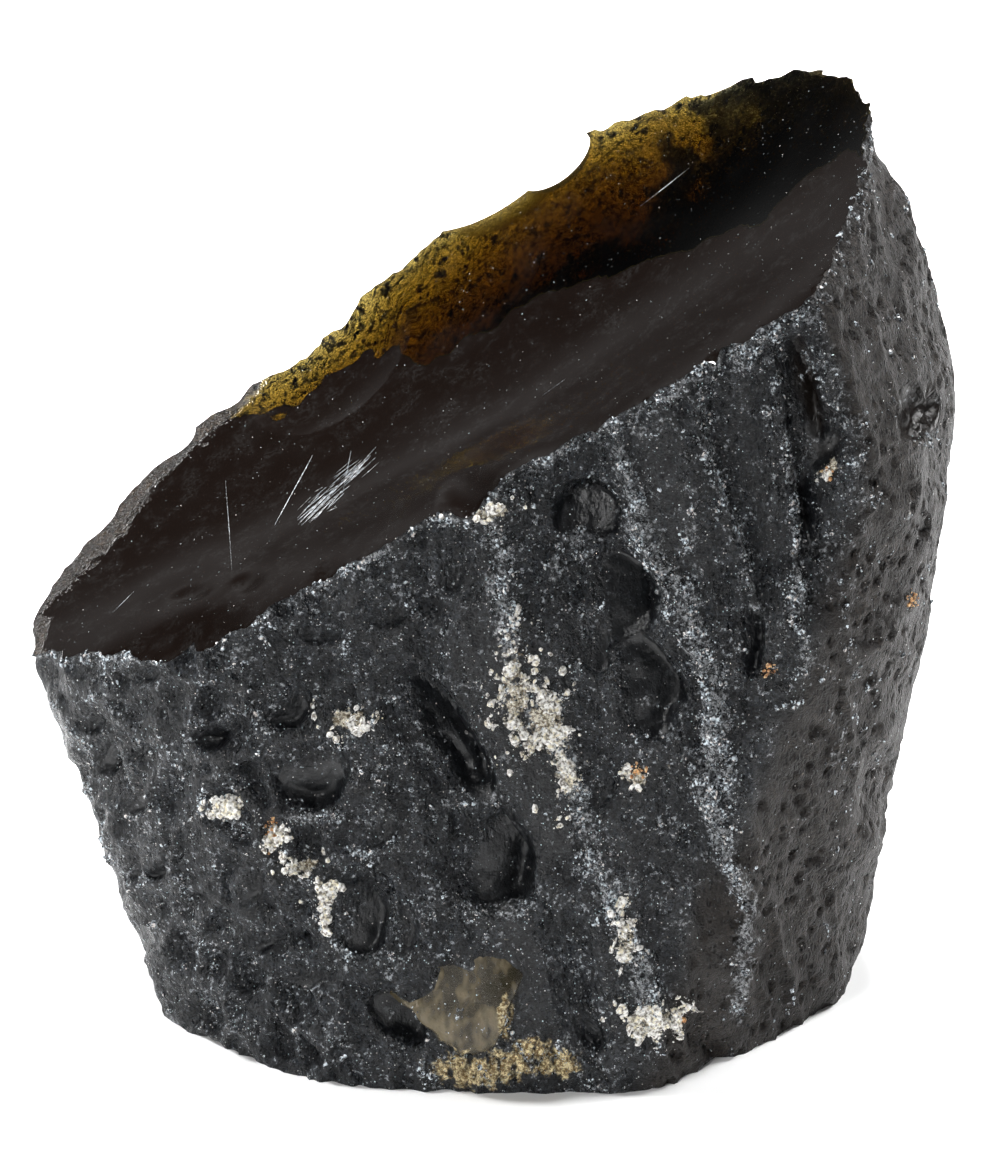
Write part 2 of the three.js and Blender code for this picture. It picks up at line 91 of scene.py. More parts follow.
# Scoops and pits etched in the front and the left flank. Each has a floor that slopes down to its
# heel, and a steep wall round it.
HOLLOWS = (
    ("flank pit", -18.7, -8.4, 0.85, 1.15, 12, 0.34, 0.5, -0.6),
    ("flank pit", -17.5, -10.4, 0.75, 0.95, 12, 0.3, 0.5, -0.6),
    ("flank pit", -17.5, -13.3, 0.6, 0.9, 12, 0.26, 0.5, -0.5),
    ("flank pit", -16.3, -13.4, 0.6, 0.7, 0, 0.26, 0.3, -0.6),
    ("flank pit", -15.2, -8.9, 0.65, 0.55, 0, 0.2, 0.3, -0.5),
    ("flank pit", -14.9, -14.9, 0.75, 0.75, 0, 0.2, 0.3, -0.5),
    ("flank pit", -16.7, -15.3, 0.65, 1.05, 15, 0.24, 0.4, -0.5),
    ("flank pit", -16.1, -18.1, 0.55, 0.9, 15, 0.22, 0.4, -0.5),
    ("flank pit", -15.2, -19.5, 0.6, 0.9, 15, 0.22, 0.4, -0.5),
    ("flank pit", -17.0, -8.1, 0.4, 0.55, 15, 0.24, 0.4, -0.5),
    ("flank pit", -19.4, -6.5, 0.6, 0.95, 15, 0.24, 0.4, -0.5),
    ("left pit", -13.7, -7.3, 1.1, 1.05, 0, 0.45, 0.4, -0.7),
    ("upper left hollow", -10.2, -6.2, 1.5, 1.25, -15, 0.36, 0.8, -0.5),
    ("big left hollow", -8.8, -9.0, 2.2, 1.95, -30, 0.46, 0.6, -0.7),
    ("low left hollow", -6.5, -16.0, 1.6, 1.9, 10, 0.44, 0.5, -0.5),
    ("low left cleft", -6.0, -15.6, 0.5, 1.5, 8, 0.35, 0.8, 0.0),
    ("ring pit", -12.3, -11.8, 0.42, 0.42, 0, 0.25, 0, 0),
    ("left dimple", -11.5, -16.8, 1.4, 0.95, 10, 0.24, 0.4, -0.6),
    ("left dimple", -9.4, -18.5, 1.4, 1.1, 0, 0.24, 0.3, -0.6),
    ("left dimple", -12.0, -14.2, 1.0, 1.2, 10, 0.24, 0.5, -0.6),
    ("left dimple", -6.2, -11.6, 1.3, 1.4, 30, 0.24, 0.5, -0.4),
    ("left dimple", -4.6, -16.4, 0.8, 1.6, 12, 0.24, 0.6, -0.3),
    ("rim dimple", -12.6, -3.3, 1.35, 0.75, 0, 0.28, 0.2, -0.4),
    ("rim dimple", -8.6, -2.5, 1.2, 0.95, 0, 0.26, 0.2, -0.4),
    ("rim dimple", -16.8, -4.2, 0.7, 0.6, 0, 0.26, 0.2, -0.4),
    ("rim dimple", -5.6, -1.6, 1.3, 1.1, 10, 0.24, 0.4, -0.4),
    ("rim dimple", -2.8, 0.6, 1.2, 1.5, 10, 0.24, 0.5, -0.3),
    ("long gouge", -2.6, -7.7, 1.7, 4.2, 34, 0.42, 0.95, -0.2),
    ("lower gouge", -0.4, -13.0, 2.2, 2.8, 22, 0.5, 0.5, -0.7),
    ("foot crease", 2.9, -19.1, 0.9, 4.8, 17, 0.12, 0.9, 0),
    ("foot cavity", -4.8, -20.7, 1.0, 1.8, 42, 0.8, 0.2, -0.3),
    ("foot pit", 4.3, -21.5, 0.72, 0.8, 0, 0.5, 0, -0.3),
    ("arch scoop", 4.1, 2.7, 1.95, 1.7, 0, 0.66, 0.1, 0.75),
    ("middle scoop", 5.6, -0.9, 1.9, 2.6, 15, 0.6, 0.85, -0.2),
    ("lower scoop", 6.6, -5.0, 2.1, 2.8, 22, 0.6, 0.9, -0.25),
    ("side scoop", 4.2, -2.9, 1.2, 2.0, 12, 0.3, 0.5, -0.3),
    ("under scoop", 4.2, -9.6, 1.1, 1.8, 16, 0.2, 0.6, -0.3),
    ("under scoop", 7.6, -10.0, 1.0, 1.6, 16, 0.2, 0.6, -0.3),
    ("lens", 11.7, -2.7, 0.7, 2.3, 2, 0.42, 0.6, -0.3),
    ("high channel", 14.0, 8.6, 1.15, 3.7, 15, 0.4, 0.85, -0.1),
    ("channel foot", 15.0, 6.2, 1.1, 1.3, 0, 0.36, 0.4, -0.6),
    ("side channel", 14.8, 3.2, 0.8, 2.6, 8, 0.3, -0.85, 0),
    ("side facet", 15.4, 1.4, 1.0, 0.75, 0, 0.26, 0, -0.8),
    ("shoulder pit", 17.2, -2.4, 0.65, 1.05, 0, 0.24, 0.2, -0.4),
    ("shoulder pit", 17.2, -4.5, 0.5, 0.8, 0, 0.2, 0.2, -0.4),
    ("side pit", 19.4, 8.0, 0.62, 1.4, 0, 0.75, 0, -0.2),
    ("side pit", 20.4, 8.0, 0.36, 1.1, 0, 0.6, 0, 0),
    ("side pit", 19.9, 2.6, 0.4, 0.7, 0, 0.45, 0, 0),
    ("foot right pit", 12.4, -14.0, 0.45, 0.45, 0, 0.22, 0, -0.3),
    ("foot right pit", 12.4, -15.4, 0.36, 0.4, 0, 0.2, 0, -0.3),
    ("foot right pit", 14.7, -15.5, 0.3, 0.35, 0, 0.2, 0, -0.3),
    ("foot right pit", 13.4, -16.1, 0.3, 0.35, 0, 0.2, 0, -0.3),
    ("foot right pit", 18.6, -8.8, 0.25, 0.45, 0, 0.25, 0, -0.3),
)
WALL_SHARE = 0.65

# Raised lines on the skin: half width, height, how much pale soil clings to it, and its course.
RIDGES = (
    ("speckled ridge", 0.5, 0.45, 1.05, ((5.7, 6.0), (6.9, 2.3), (8.2, -0.6), (9.0, -1.9), (9.9, -4.4),
     (10.2, -6.9), (9.7, -9.9), (10.5, -13.3), (11.6, -15.1), (11.6, -18.0), (11.0, -20.0))),
    ("soil band", 0.5, 0.25, 1.0, ((-0.4, 2.7), (0.2, 0.9), (0.4, -1.5), (0.6, -5.1), (2.0, -7.3),
     (3.3, -8.8), (3.7, -10.3), (4.5, -13.1), (5.8, -16.3), (6.5, -17.6), (7.2, -20.5))),
    ("flank ridge", 0.5, 0.35, 0.4, ((-18.6, -5.2), (-16.9, -9.0), (-15.8, -12.8), (-14.2, -16.1),
     (-12.5, -21.2))),
    ("side crest", 0.5, 0.3, 0.6, ((14.6, 10.7), (16.6, 7.6), (16.8, 6.2), (17.2, 2.0))),
    ("panel ridge", 0.3, 0.26, 0.75, ((9.4, 8.4), (9.8, 6.0), (10.3, 3.8), (11.4, 0.9), (12.2, -2.0))),
    ("channel ridge", 0.28, 0.24, 0.7, ((13.0, 9.0), (13.5, 5.8), (14.1, 1.1), (14.4, -3.0), (14.0, -6.0))),
    ("shoulder vein", 0.3, 0.16, 0.65, ((16.8, 1.6), (16.2, -2.0), (16.6, -5.6), (15.6, -8.4))),
    ("fine vein", 0.3, 0.16, 0.5, ((-10.9, -11.6), (-10.6, -12.8), (-9.4, -13.5), (-8.6, -14.4),
     (-8.0, -15.6))),
    ("fine vein", 0.3, 0.14, 0.4, ((-7.4, -3.2), (-6.2, -5.4), (-5.6, -7.8), (-5.8, -10.6), (-4.4, -12.6))),
    ("fine vein", 0.3, 0.14, 0.3, ((-12.0, -4.6), (-11.9, -8.0), (-12.8, -10.4), (-12.6, -13.2))),
)

# Steps in the skin: drop, how far the lower side takes to come up again, and the step's course.
# The lower side is on the right of a course that is drawn downwards.
LEDGES = (
    ("slab edge", 0.34, 1.6, ((1.1, -7.9), (2.3, -8.6), (3.1, -10.1), (3.6, -12.0), (3.6, -12.9),
     (1.8, -13.4))),
    ("gouge wall", 1.0, 1.4, ((-0.1, -10.1), (-1.2, -7.7), (-2.2, -6.0), (-2.8, -5.4), (-4.1, -3.9))),
    ("gouge lip", 0.34, 0.9, ((-5.6, -5.5), (-5.2, -6.8), (-4.1, -8.9), (-2.4, -10.6))),
    ("gouge stria", 0.34, 0.5, ((-0.9, -10.1), (-1.9, -8.4), (-3.2, -6.9))),
    ("gouge stria", 0.28, 0.4, ((-1.2, -9.2), (-2.3, -7.4), (-3.4, -6.0))),
    ("lower gouge left", 0.5, 1.6, ((-2.5, -10.4), (-2.3, -12.4), (-2.2, -14.8))),
    ("lower gouge right", 0.6, 1.7, ((1.7, -15.3), (1.8, -13.7), (0.9, -12.4), (-0.2, -11.0))),
    ("lower gouge foot", 0.45, 1.4, ((-2.4, -15.1), (-0.4, -15.4), (1.7, -15.1))),
    ("crease", 0.3, 1.2, ((1.6, -15.2), (2.5, -18.0), (3.3, -20.5), (3.9, -23.1))),
    ("crease", 0.16, 0.5, ((1.0, -15.4), (1.9, -18.2), (2.7, -20.6), (3.4, -23.1))),
    ("panel wall", 0.7, 2.0, ((9.4, 8.4), (9.7, 6.8), (9.9, 5.0), (10.4, 3.6), (11.4, 0.9), (12.3, -2.0))),
    ("channel wall", 0.65, 1.7, ((12.7, 11.6), (13.2, 8.0), (13.6, 5.8), (14.1, 1.1), (14.4, -3.0))),
    ("high wall", 0.7, 1.6, ((16.4, 7.6), (15.5, 8.3), (14.9, 9.8), (14.2, 11.9))),
    ("scoop ledge", 0.22, 0.7, ((6.4, 0.9), (6.9, -0.8), (7.0, -2.9))),
    ("hollow arc", 0.2, 0.8, ((-8.2, -15.9), (-7.6, -14.5), (-6.6, -14.1), (-5.6, -14.9))),
    ("low vein", 0.18, 1.0, ((6.2, -13.2), (6.9, -15.6), (7.0, -18.4), (7.9, -20.4))),
)

# Smooth strips of the skin: half width, how smooth, and course. The first is the slab between the long
# gouge and the soil band, and the rest are panels and channels on the right.
SMOOTH_STRIPS = (
    (1.6, 0.7, ((-0.8, -3.0), (1.2, -8.6), (2.6, -12.6))),
    (1.2, 0.6, ((7.2, 6.4), (7.9, 4.0), (9.3, 1.2))),
    (1.0, 0.6, ((11.2, 8.4), (11.9, 5.0), (12.8, 1.8))),
    (0.9, 0.7, ((13.8, 11.0), (14.2, 7.4))),
    (1.2, 0.5, ((9.0, -14.0), (9.6, -18.0))),
    (1.3, 0.6, ((0.4, -16.0), (1.4, -20.5))),
)

# Soft marks on the fracture near its low end.
FRACTURE_MARKS = (
    ("near rim chip", -0.4, 3.2, 2.6, 1.5, -20, 1.0, 0.2, -0.4),
    ("near rim chip", 10.6, 9.9, 1.0, 0.7, -55, 0.5, 0, -0.4),
    ("near rim chip", -7.6, -0.6, 1.6, 0.8, -60, 0.3, 0, -0.4),
    ("lens", -14.5, -1.0, 0.4, 1.1, -75, 0.16, 0, 0),
    ("lens", -11.9, -0.4, 0.45, 0.8, -75, 0.16, 0, 0),
    ("scoop", -14.2, -2.9, 1.1, 3.4, -72, 0.4, 0.3, 0),
)
FRACTURE_WAVES = (
    (1.5, 0.3, ((-19.8, -4.1), (-15.5, -1.6), (-9.4, 0.8), (-4.4, 3.4), (0.6, 5.4))),
    (1.1, 0.06, ((-13.5, 1.2), (-9.0, 3.2), (-5.2, 5.9), (-1.0, 7.6))),
)

# Where the fracture's glass is thin enough to glow: everything above this line, up to the far rim.
AMBER_LINE = (
    (-12.4, 9.6), (-11.2, 9.4), (-9.4, 10.0), (-8.2, 11.6), (-6.1, 12.4), (-4.6, 12.4), (-3.3, 12.0),
    (-0.9, 13.3), (2.8, 15.4), (9.4, 17.5), (12.6, 19.0), (16.0, 22.0),
)
AMBER_DEPTH = 8.5

# The left of the far rim is worn rough, with a brown edge.
WORN_RIM = ((-21.9, -3.6), (-21.4, -1.0), (-16.2, 5.0), (-11.9, 9.2), (-9.0, 11.8))

# Scratches on the fracture: where each begins and ends on the sheet, and its width.
SCRATCHES = (
    (-8.8, 5.8, -10.6, 2.5, 0.17), (-12.9, 4.6, -12.6, 0.4, 0.05), (-7.0, 6.0, -7.4, 4.0, 0.05),
    (6.6, 17.5, 8.9, 19.3, 0.1), (2.0, 8.6, 3.1, 9.4, 0.05), (-18.2, -1.6, -17.2, -0.6, 0.06),
)
SCUFF = dict(start=(-9.5, 2.5), end=(-5.6, 6.2), strokes=54, spread=0.62, length=1.3, width=0.14, seed=17)

# Patches of cream soil that fill low spots: u, v and half sizes.
CREAM_PATCHES = (
    (0.8, -5.4, 0.9, 2.0), (2.0, -6.9, 0.9, 1.3), (2.9, -9.2, 0.5, 1.2), (-7.2, -6.6, 0.9, 0.5),
    (-13.0, -10.8, 0.7, 0.35), (-10.7, -12.2, 0.4, 0.7), (-9.3, -13.4, 0.8, 0.5), (-8.3, -14.9, 0.4, 0.9),
    (6.3, -9.2, 0.5, 0.4), (7.2, -20.6, 1.1, 0.6), (6.0, -16.9, 0.4, 1.2), (-0.6, 3.0, 1.0, 0.35),
    (15.4, 5.2, 0.3, 0.4),
)

# Patches of bright quartz dust colour and grains where the stone glints: painted glints.
PAINTED_GLINT_PATCHES = (
    (3.7, 1.9, 0.9, 0.5), (2.6, 0.6, 0.4, 0.9), (7.0, -5.8, 0.7, 0.4), (-0.3, -15.4, 1.9, 0.22),
    (-6.3, -17.6, 1.0, 0.3), (-8.9, -11.2, 1.5, 0.3), (6.1, -16.5, 0.5, 0.6), (6.8, -18.0, 0.4, 0.5),
    (10.4, -9.4, 0.6, 1.6), (9.0, 2.4, 0.4, 1.4), (13.8, -1.0, 0.4, 1.4), (16.3, 21.3, 0.4, 0.6),
    (-12.6, -3.6, 0.8, 0.4), (-2.0, 2.6, 1.4, 0.4), (11.2, 10.2, 1.5, 0.5),
)

# Single spots of ochre.
OCHRE_SPOTS = (
    (-10.7, -12.0, 0.2, 0.5), (8.4, -20.8, 0.2, 0.12), (15.4, 5.0, 0.16, 0.34), (19.4, -1.0, 0.14, 0.24),
    (12.7, -4.3, 0.25, 0.2), (6.4, -9.1, 0.3, 0.22),
)

# The broken edge of the foot, painted bright gold: painted glow of light through the thin glass, with
# painted highlights.
PAINTED_GLOW_PATCHES = (
    (-1.0, -23.1, 1.9, 0.75), (0.9, -22.7, 1.6, 0.8), (2.6, -22.9, 1.0, 0.6), (0.25, -20.7, 0.25, 1.0),
)

# How far the skin stands out to make up for what the pits and cells take away.
SKIN_BIAS = 0.18

DENTS = dict(count=90, seed=7, least=1.2, most=3.4, depth=0.26)

# Bites out of the far rim: place on the sheet, depth of the bite and radius of the biting ball.
RIM_CHIPS = (
    (-20.6, 1.0, 0.3, 1.2), (-18.6, 2.8, 0.3, 1.4), (-15.0, 5.9, 0.4, 1.2), (-12.4, 9.2, 0.5, 1.4),
    (-9.6, 11.3, 0.4, 1.1), (-7.2, 13.3, 0.4, 1.3), (-4.2, 15.2, 0.4, 1.2), (-1.6, 16.8, 0.3, 1.2),
    (0.9, 17.6, 2.7, 5.5), (2.9, 19.0, 1.2, 2.0), (6.5, 21.7, 0.3, 1.2), (9.4, 23.1, 0.4, 1.0),
    (12.2, 23.9, 0.2, 1.1),
)
CHIPPED_FROM = np.array([-0.5, 0.86])

# A thin clear flake that still hangs on at the foot of the front.
FLAKE_OUTLINE = (
    (-5.2, -19.5), (-4.0, -18.4), (-1.9, -18.1), (-0.7, -17.0), (0.4, -17.6), (1.1, -18.5),
    (0.9, -19.2), (0.4, -20.4), (-0.1, -21.7), (-0.6, -22.1), (-1.7, -22.3), (-2.4, -21.9), (-3.2, -21.2),
)
FLAKE_PROUD = 0.7
# Its rings, from the root inside the stone to the middle of its face: size, and share of its height.
FLAKE_ROOT = -2.2
FLAKE_RINGS = (
    (1.0, FLAKE_ROOT), (1.0, 0.0), (0.97, 0.6), (0.9, 0.9), (0.75, 1), (0.6, 1), (0.45, 1), (0.3, 1),
    (0.15, 1),
)

# Colours of the glass and of what lies on it: dark and light.
COLOURS = {
    "skin": ((0.0012, 0.0016, 0.0024), (0.050, 0.058, 0.069)),
    "side": ((0.006, 0.0038, 0.0026), (0.034, 0.024, 0.017)),
    "fracture": ((0.0048, 0.0029, 0.0022), (0.012, 0.0105, 0.0098)),
    "worn rim": ((0.003, 0.002, 0.0015), (0.045, 0.027, 0.014)),
    # flake: olive glass, made lighter for the light falling on its face: its own colour and painted light.
    "flake": ((0.030, 0.023, 0.008), (0.215, 0.175, 0.105)),
    # gold: painted glow and painted highlights of the broken foot edge.
    "painted_gold_glow": ((0.20, 0.12, 0.035), (0.98, 0.84, 0.50)),
    "dust": ((0.010, 0.011, 0.013), (0.50, 0.52, 0.54)),
    "cream": ((0.17, 0.13, 0.075), (0.88, 0.83, 0.70)),
    # specks: near white, tinted blue to warm: quartz dust and painted glints.
    "specks_and_glints": ((0.72, 0.94, 1.0), (1.0, 0.90, 0.84)),
}

# Kinds of grain: dark, light and warm colour, roughness, and how far the dark ones outnumber the rest.
GRAIN_KINDS = {
    "quartz dust": ((0.03, 0.034, 0.04), (0.72, 0.80, 0.86), (0.86, 0.80, 0.76), 0.25, 1.6),
    "cream soil": ((0.20, 0.18, 0.15), (0.98, 0.97, 0.94), (0.92, 0.85, 0.66), 0.6, 0.45),
    "ochre soil": ((0.30, 0.12, 0.04), (0.85, 0.50, 0.22), (0.80, 0.66, 0.40), 0.6, 0.8),
    "crushed glass": ((0.10, 0.10, 0.10), (0.5, 0.55, 0.6), (0.5, 0.5, 0.5), 0.4, 1.0),
}

# Lots of grains: kind, count, seeds of their places and turns, least size, how much larger they come,
# how rare the large ones are, and height for a width of one.
GRAIN_LOTS = {
    "skin_dust": ("quartz dust", 9500, 11, 12, 0.012, 0.07, 6, 0.7),
    "upper_soil_grains": ("quartz dust", 9500, 21, 21, 0.02, 0.24, 5, 0.7),
    "lower_soil_grains": ("quartz dust", 9500, 31, 31, 0.02, 0.24, 5, 0.7),
    "cream_soil": ("cream soil", 5200, 13, 14, 0.03, 0.4, 4, 0.7),
    "ochre_soil": ("ochre soil", 260, 17, 18, 0.04, 0.2, 3, 0.7),
    "fracture_dust": ("quartz dust", 2600, 15, 16, 0.006, 0.03, 7, 0.5),
}

# Soft lamps, in metres: name, place, aim, size, power, and spread in degrees. The first three light
# only the floor round the stone.
LAMPS = (
    ("back", (0, 0.45, 0.6), (0, 0.11, 0), 0.2, 0.36, 30),
    ("left", (-0.35, 0.1, 0.6), (0, 0.11, 0), 0.2, 0.36, 30),
    ("right", (0.35, 0.15, 0.6), (0, 0.11, 0), 0.2, 0.36, 30),
    ("key", (-0.42, -0.6, 0.6), (0, 0, 0.02), 0.22, 0.045, 8),
    ("fill", (0.5, -0.35, 0.45), (0, 0, 0.02), 0.25, 0.009, 12),
)
FLOOR_WHITE = 0.97

# Mesh pitch: the front is finest, and the back coarser.
FRONT_PITCH = 0.17
BACK_PITCH = 0.5
FRACTURE_PITCH = 0.32


# ---- Numbers ----

def unit(vectors):
    vectors = np.asarray(vectors, dtype=float)
    return vectors / np.linalg.norm(vectors, axis=-1, keepdims=True)


def smoothstep(x, low, high):
    t = np.clip((x - low) / (high - low), 0.0, 1.0)
    return t * t * (3 - 2 * t)


def lattice_value(cells, seed):
    """One repeatable number from 0 to 1 for each whole-number cell."""
    x, y, z = (cells[..., k].astype(np.int64) for k in range(3))
    h = (x * 374761393 + y * 668265263 + z * 2147483647 + seed * 974711) & 0x7FFFFFFF
    h = ((h ^ (h >> 13)) * 1274126177) & 0x7FFFFFFF
    h = ((h ^ (h >> 16)) * 974634777) & 0x7FFFFFFF
    return (h ^ (h >> 15)) / float(0x7FFFFFFF)


def value_noise(points, seed=0):
    """Smooth noise from -1 to 1, about one swell to each unit."""
    base = np.floor(points)
    part = points - base
    part = part * part * part * (part * (part * 6 - 15) + 10)
    total = np.zeros(len(points))
    for corner in product((0, 1), repeat=3):
        weight = np.prod(np.where(corner, part, 1 - part), axis=1)
        total += weight * lattice_value(base + corner, seed)
    return total * 2 - 1


def layered_noise(points, seed=0, layers=3):
    total = np.zeros(len(points))
    for layer in range(layers):
        total += value_noise(points * 2 ** layer + 17.3 * layer, seed + layer) / 2 ** layer
    return total


def cups(points, seed):
    """Distances to the nearest and second nearest of scattered centres, one to each unit cell,
    and a number from 0 to 1 that belongs to the nearest."""
    base = np.floor(points)
    nearest = np.full(len(points), 9.0)
    second = nearest.copy()
    number = np.zeros(len(points))
    for step in product((-1, 0, 1), repeat=3):
        cell = base + step
        centre = cell + np.stack([lattice_value(cell, seed + k) for k in range(3)], axis=1)
        distance = np.linalg.norm(points - centre, axis=1)
        closer = distance < nearest
        second = np.where(closer, nearest, np.minimum(second, distance))
        number = np.where(closer, lattice_value(cell, seed + 3), number)
        nearest = np.where(closer, distance, nearest)
    return nearest, second, number


def cupped(depth, points, seed, reach, least):
    """Scattered cups, each from least to least + 1 times the depth."""
    near, _, number = cups(points, seed)
    return depth * np.maximum(reach - near, 0) * (least + number)


# ---- The drawing sheet ----

tilt = math.radians(SHEET_TILT)
SHEET_UP = np.array([0.0, math.sin(tilt), math.cos(tilt)])
SHEET_OUT = np.array([0.0, -math.cos(tilt), math.sin(tilt)])
EYE = SHEET_MIDDLE + SHEET_OUT * SHEET_DISTANCE


def drawn(points):
    """Where points of the stone show on the sheet."""
    toward = points - EYE
    scale = -SHEET_DISTANCE / (toward @ SHEET_OUT)
    return toward[:, 0] * scale, (toward @ SHEET_UP) * scale


def sight(u, v):
    """The direction from the eye through (u, v) on the sheet."""
    return unit(SHEET_MIDDLE + SHEET_UP * v + np.array([u, 0, 0]) - EYE)


def point_on_plane(u, v, normal, level):
    """The point of a plane that shows at (u, v) on the sheet."""
    ray = sight(u, v)
    return EYE + ray * ((level - EYE @ normal) / (ray @ normal))


def max_of(shares):
    return np.max(list(shares), axis=0)


def line_distance(u, v, course):
    """How far each mark on the sheet is from a course of straight runs."""
    nearest = np.full(len(u), 99.0)
    for (u0, v0), (u1, v1) in zip(course, course[1:]):
        du, dv = u1 - u0, v1 - v0
        along = np.clip(((u - u0) * du + (v - v0) * dv) / (du * du + dv * dv), 0, 1)
        nearest = np.minimum(nearest, np.hypot(u - u0 - along * du, v - v0 - along * dv))
    return nearest


def beside(u, v, course):
    """How far each mark is from a course, on which side (positive on the right of a course that is
    drawn downwards), and how far along the course it lies, from 0 to 1."""
    near, side, along = np.full(len(u), 99.0), np.zeros(len(u)), np.zeros(len(u))
    for k, ((u0, v0), (u1, v1)) in enumerate(zip(course, course[1:])):
        du, dv = u1 - u0, v1 - v0
        share = np.clip(((u - u0) * du + (v - v0) * dv) / (du * du + dv * dv), 0, 1)
        off_u, off_v = u - u0 - share * du, v - v0 - share * dv
        distance = np.hypot(off_u, off_v)
        closer = distance < near
        near = np.where(closer, distance, near)
        side = np.where(closer, np.sign(du * off_v - dv * off_u), side)
        along = np.where(closer, (k + share) / (len(course) - 1), along)
    return near, side, along


# ---- The weathered block ----

def facing(turn, lean):
    turn, lean = math.radians(turn), math.radians(lean)
    flat = math.cos(lean)
    return np.array([math.sin(turn) * flat, -math.cos(turn) * flat, math.sin(lean)])


FACE_NORMALS = np.array([facing(turn, lean) for _, turn, lean, _ in FACES])
FACE_REACHES = np.array([reach for *_, reach in FACES])


def block(directions):
    """Points of the block's skin along directions from the heart, and its outward directions."""
    shares = np.maximum(directions @ FACE_NORMALS.T / FACE_REACHES, 0)
    reach = (shares ** EDGE_HARDNESS).sum(axis=1) ** (-1 / EDGE_HARDNESS)
    normals = unit(shares ** (EDGE_HARDNESS - 1) / FACE_REACHES @ FACE_NORMALS)
    return HEART + directions * reach[:, None], normals


# ---- The fracture ----

RIM_NORMAL = unit([-math.tan(math.radians(FRACTURE["dip"])), -math.tan(math.radians(FRACTURE["rise"])), 1])
RIM_LEVEL = RIM_NORMAL @ np.array([HEART[0], HEART[1], FRACTURE["level"]])


def across_and_along(u, v, hollow):
    """Where marks lie in a hollow, to the right and up, with 1 at its rim."""
    _, at_u, at_v, across, along, turn, *_ = hollow
    side, down = math.sin(math.radians(turn)), math.cos(math.radians(turn))
    return ((u - at_u) * down + (v - at_v) * side) / across, ((v - at_v) * down - (u - at_u) * side) / along


def hollow_depth(u, v, hollow, soft=False):
    """A scoop's depth: its floor slopes down to its heel, with a steep wall unless it is soft."""
    *_, depth, heel_right, heel_up = hollow
    x, y = across_and_along(u, v, hollow)
    bowl = np.maximum(1 - x * x - y * y, 0)
    steep = np.minimum(bowl / WALL_SHARE, 1)
    toward_heel = np.maximum(1 + heel_right * x + heel_up * y, 0)
    if soft:
        return 1.15 * depth * bowl ** 1.3 * toward_heel ** 1.3
    return 1.15 * depth * steep * (2 - steep) * toward_heel ** 1.6


def fracture_height(x, y):
    across, back = x - HEART[0], y - HEART[1]
    dip, rise = math.tan(math.radians(FRACTURE["dip"])), math.tan(math.radians(FRACTURE["rise"]))
    plane = FRACTURE["level"] + across * dip + back * rise
    out = (2 * across / FRACTURE["length"]) ** 2
    out = out + (2 * (back - FRACTURE["back"]) / FRACTURE["width"]) ** 2
    return plane - FRACTURE["hollow"] * np.clip(1 - out, 0, 1) ** 2


def marked_fracture_height(x, y):
    """The fracture with the soft marks near its low end and faint ripples of the break."""
    height = fracture_height(x, y)
    points = np.stack([x, y, height], axis=-1).reshape(-1, 3)
    u, v = drawn(points)
    marks = np.zeros(len(u))
    for width, high, course in FRACTURE_WAVES:
        marks -= high * np.exp(-(line_distance(u, v, course) / width) ** 2)
    for mark in FRACTURE_MARKS:
        marks += hollow_depth(u, v, mark, soft=True)
    ripple_round = np.hypot(u - 18, v + 2)
    marks += 0.02 * np.sin(ripple_round * 1.3 + value_noise(points / 6, 5)) * smoothstep(-u, -4, 8)
    marks += 0.05 * value_noise(points / 4.5, 9)
    return height - marks.reshape(height.shape)


# ---- Relief of the skin, as depths cut inwards ----

def number_run(seed):
    """A repeatable run of numbers between 0 and 1."""
    state = seed
    while True:
        state = state * 16807 % 2147483647
        yield state / 2147483647


def scatter_dents():
    """Dents sit evenly round the block on a spiral, and their sizes vary."""
    run = number_run(DENTS["seed"])
    golden_turn = math.pi * (3 - math.sqrt(5))
    directions, radii = [], []
    for i in range(DENTS["count"]):
        height = 1 - 2 * (i + 0.5) / DENTS["count"]
        ring = math.sqrt(1 - height ** 2)
        turn = i * golden_turn + next(run) * 0.5
        directions.append((math.cos(turn) * ring, math.sin(turn) * ring, height))
        radii.append(DENTS["least"] + (DENTS["most"] - DENTS["least"]) * next(run) ** 2)
    return block(np.array(directions))[0], radii


def dent_depth(points):
    depth = np.zeros(len(points))
    for centre, radius in zip(*scatter_dents()):
        bowl = 1 - ((points - centre) ** 2).sum(axis=1) / radius ** 2
        depth = np.maximum(depth, DENTS["depth"] * radius * np.maximum(bowl, 0))
    return depth


def wandering(points):
    """Marks of the sheet, wandered a little so that nothing drawn on it looks ruled."""
    u, v = drawn(points)
    u = u + 0.3 * value_noise(points / 2.2, 21) + 0.09 * value_noise(points / 0.7, 25)
    v = v + 0.3 * value_noise(points / 2.2, 23) + 0.09 * value_noise(points / 0.7, 27)
    return u, v


def cell_nets(u, v):
    """The wide and the fine net of cells that cover the front, leaning as the flutes lean."""
    slant = np.stack([u + 0.21 * v, v, np.zeros(len(u))], axis=1)
    return slant, cups(slant / (1.7, 2.4, 1) + 0.5, 41), cups(slant / (0.75, 1.0, 1) + 7.5, 43)


def strips(u, v):
    """How much each mark lies in a smooth strip."""
    return max_of(share * np.exp(-(line_distance(u, v, course) / width) ** 2)
                  for width, share, course in SMOOTH_STRIPS)


def pit_depth(u, v):
    return max_of(hollow_depth(u, v, hollow) for hollow in HOLLOWS)


def painted_glint_rims(u, v):
    """Bright dust colour and grains along the lower rims of the scoops: painted glints."""
    shares = []
    for hollow in HOLLOWS:
        x, y = across_and_along(u, v, hollow)
        shares.append(np.exp(-((np.hypot(x, y) - 0.92) / 0.2) ** 2) * smoothstep(-y - 0.3 * x, 0.1, 0.8))
    return max_of(shares)


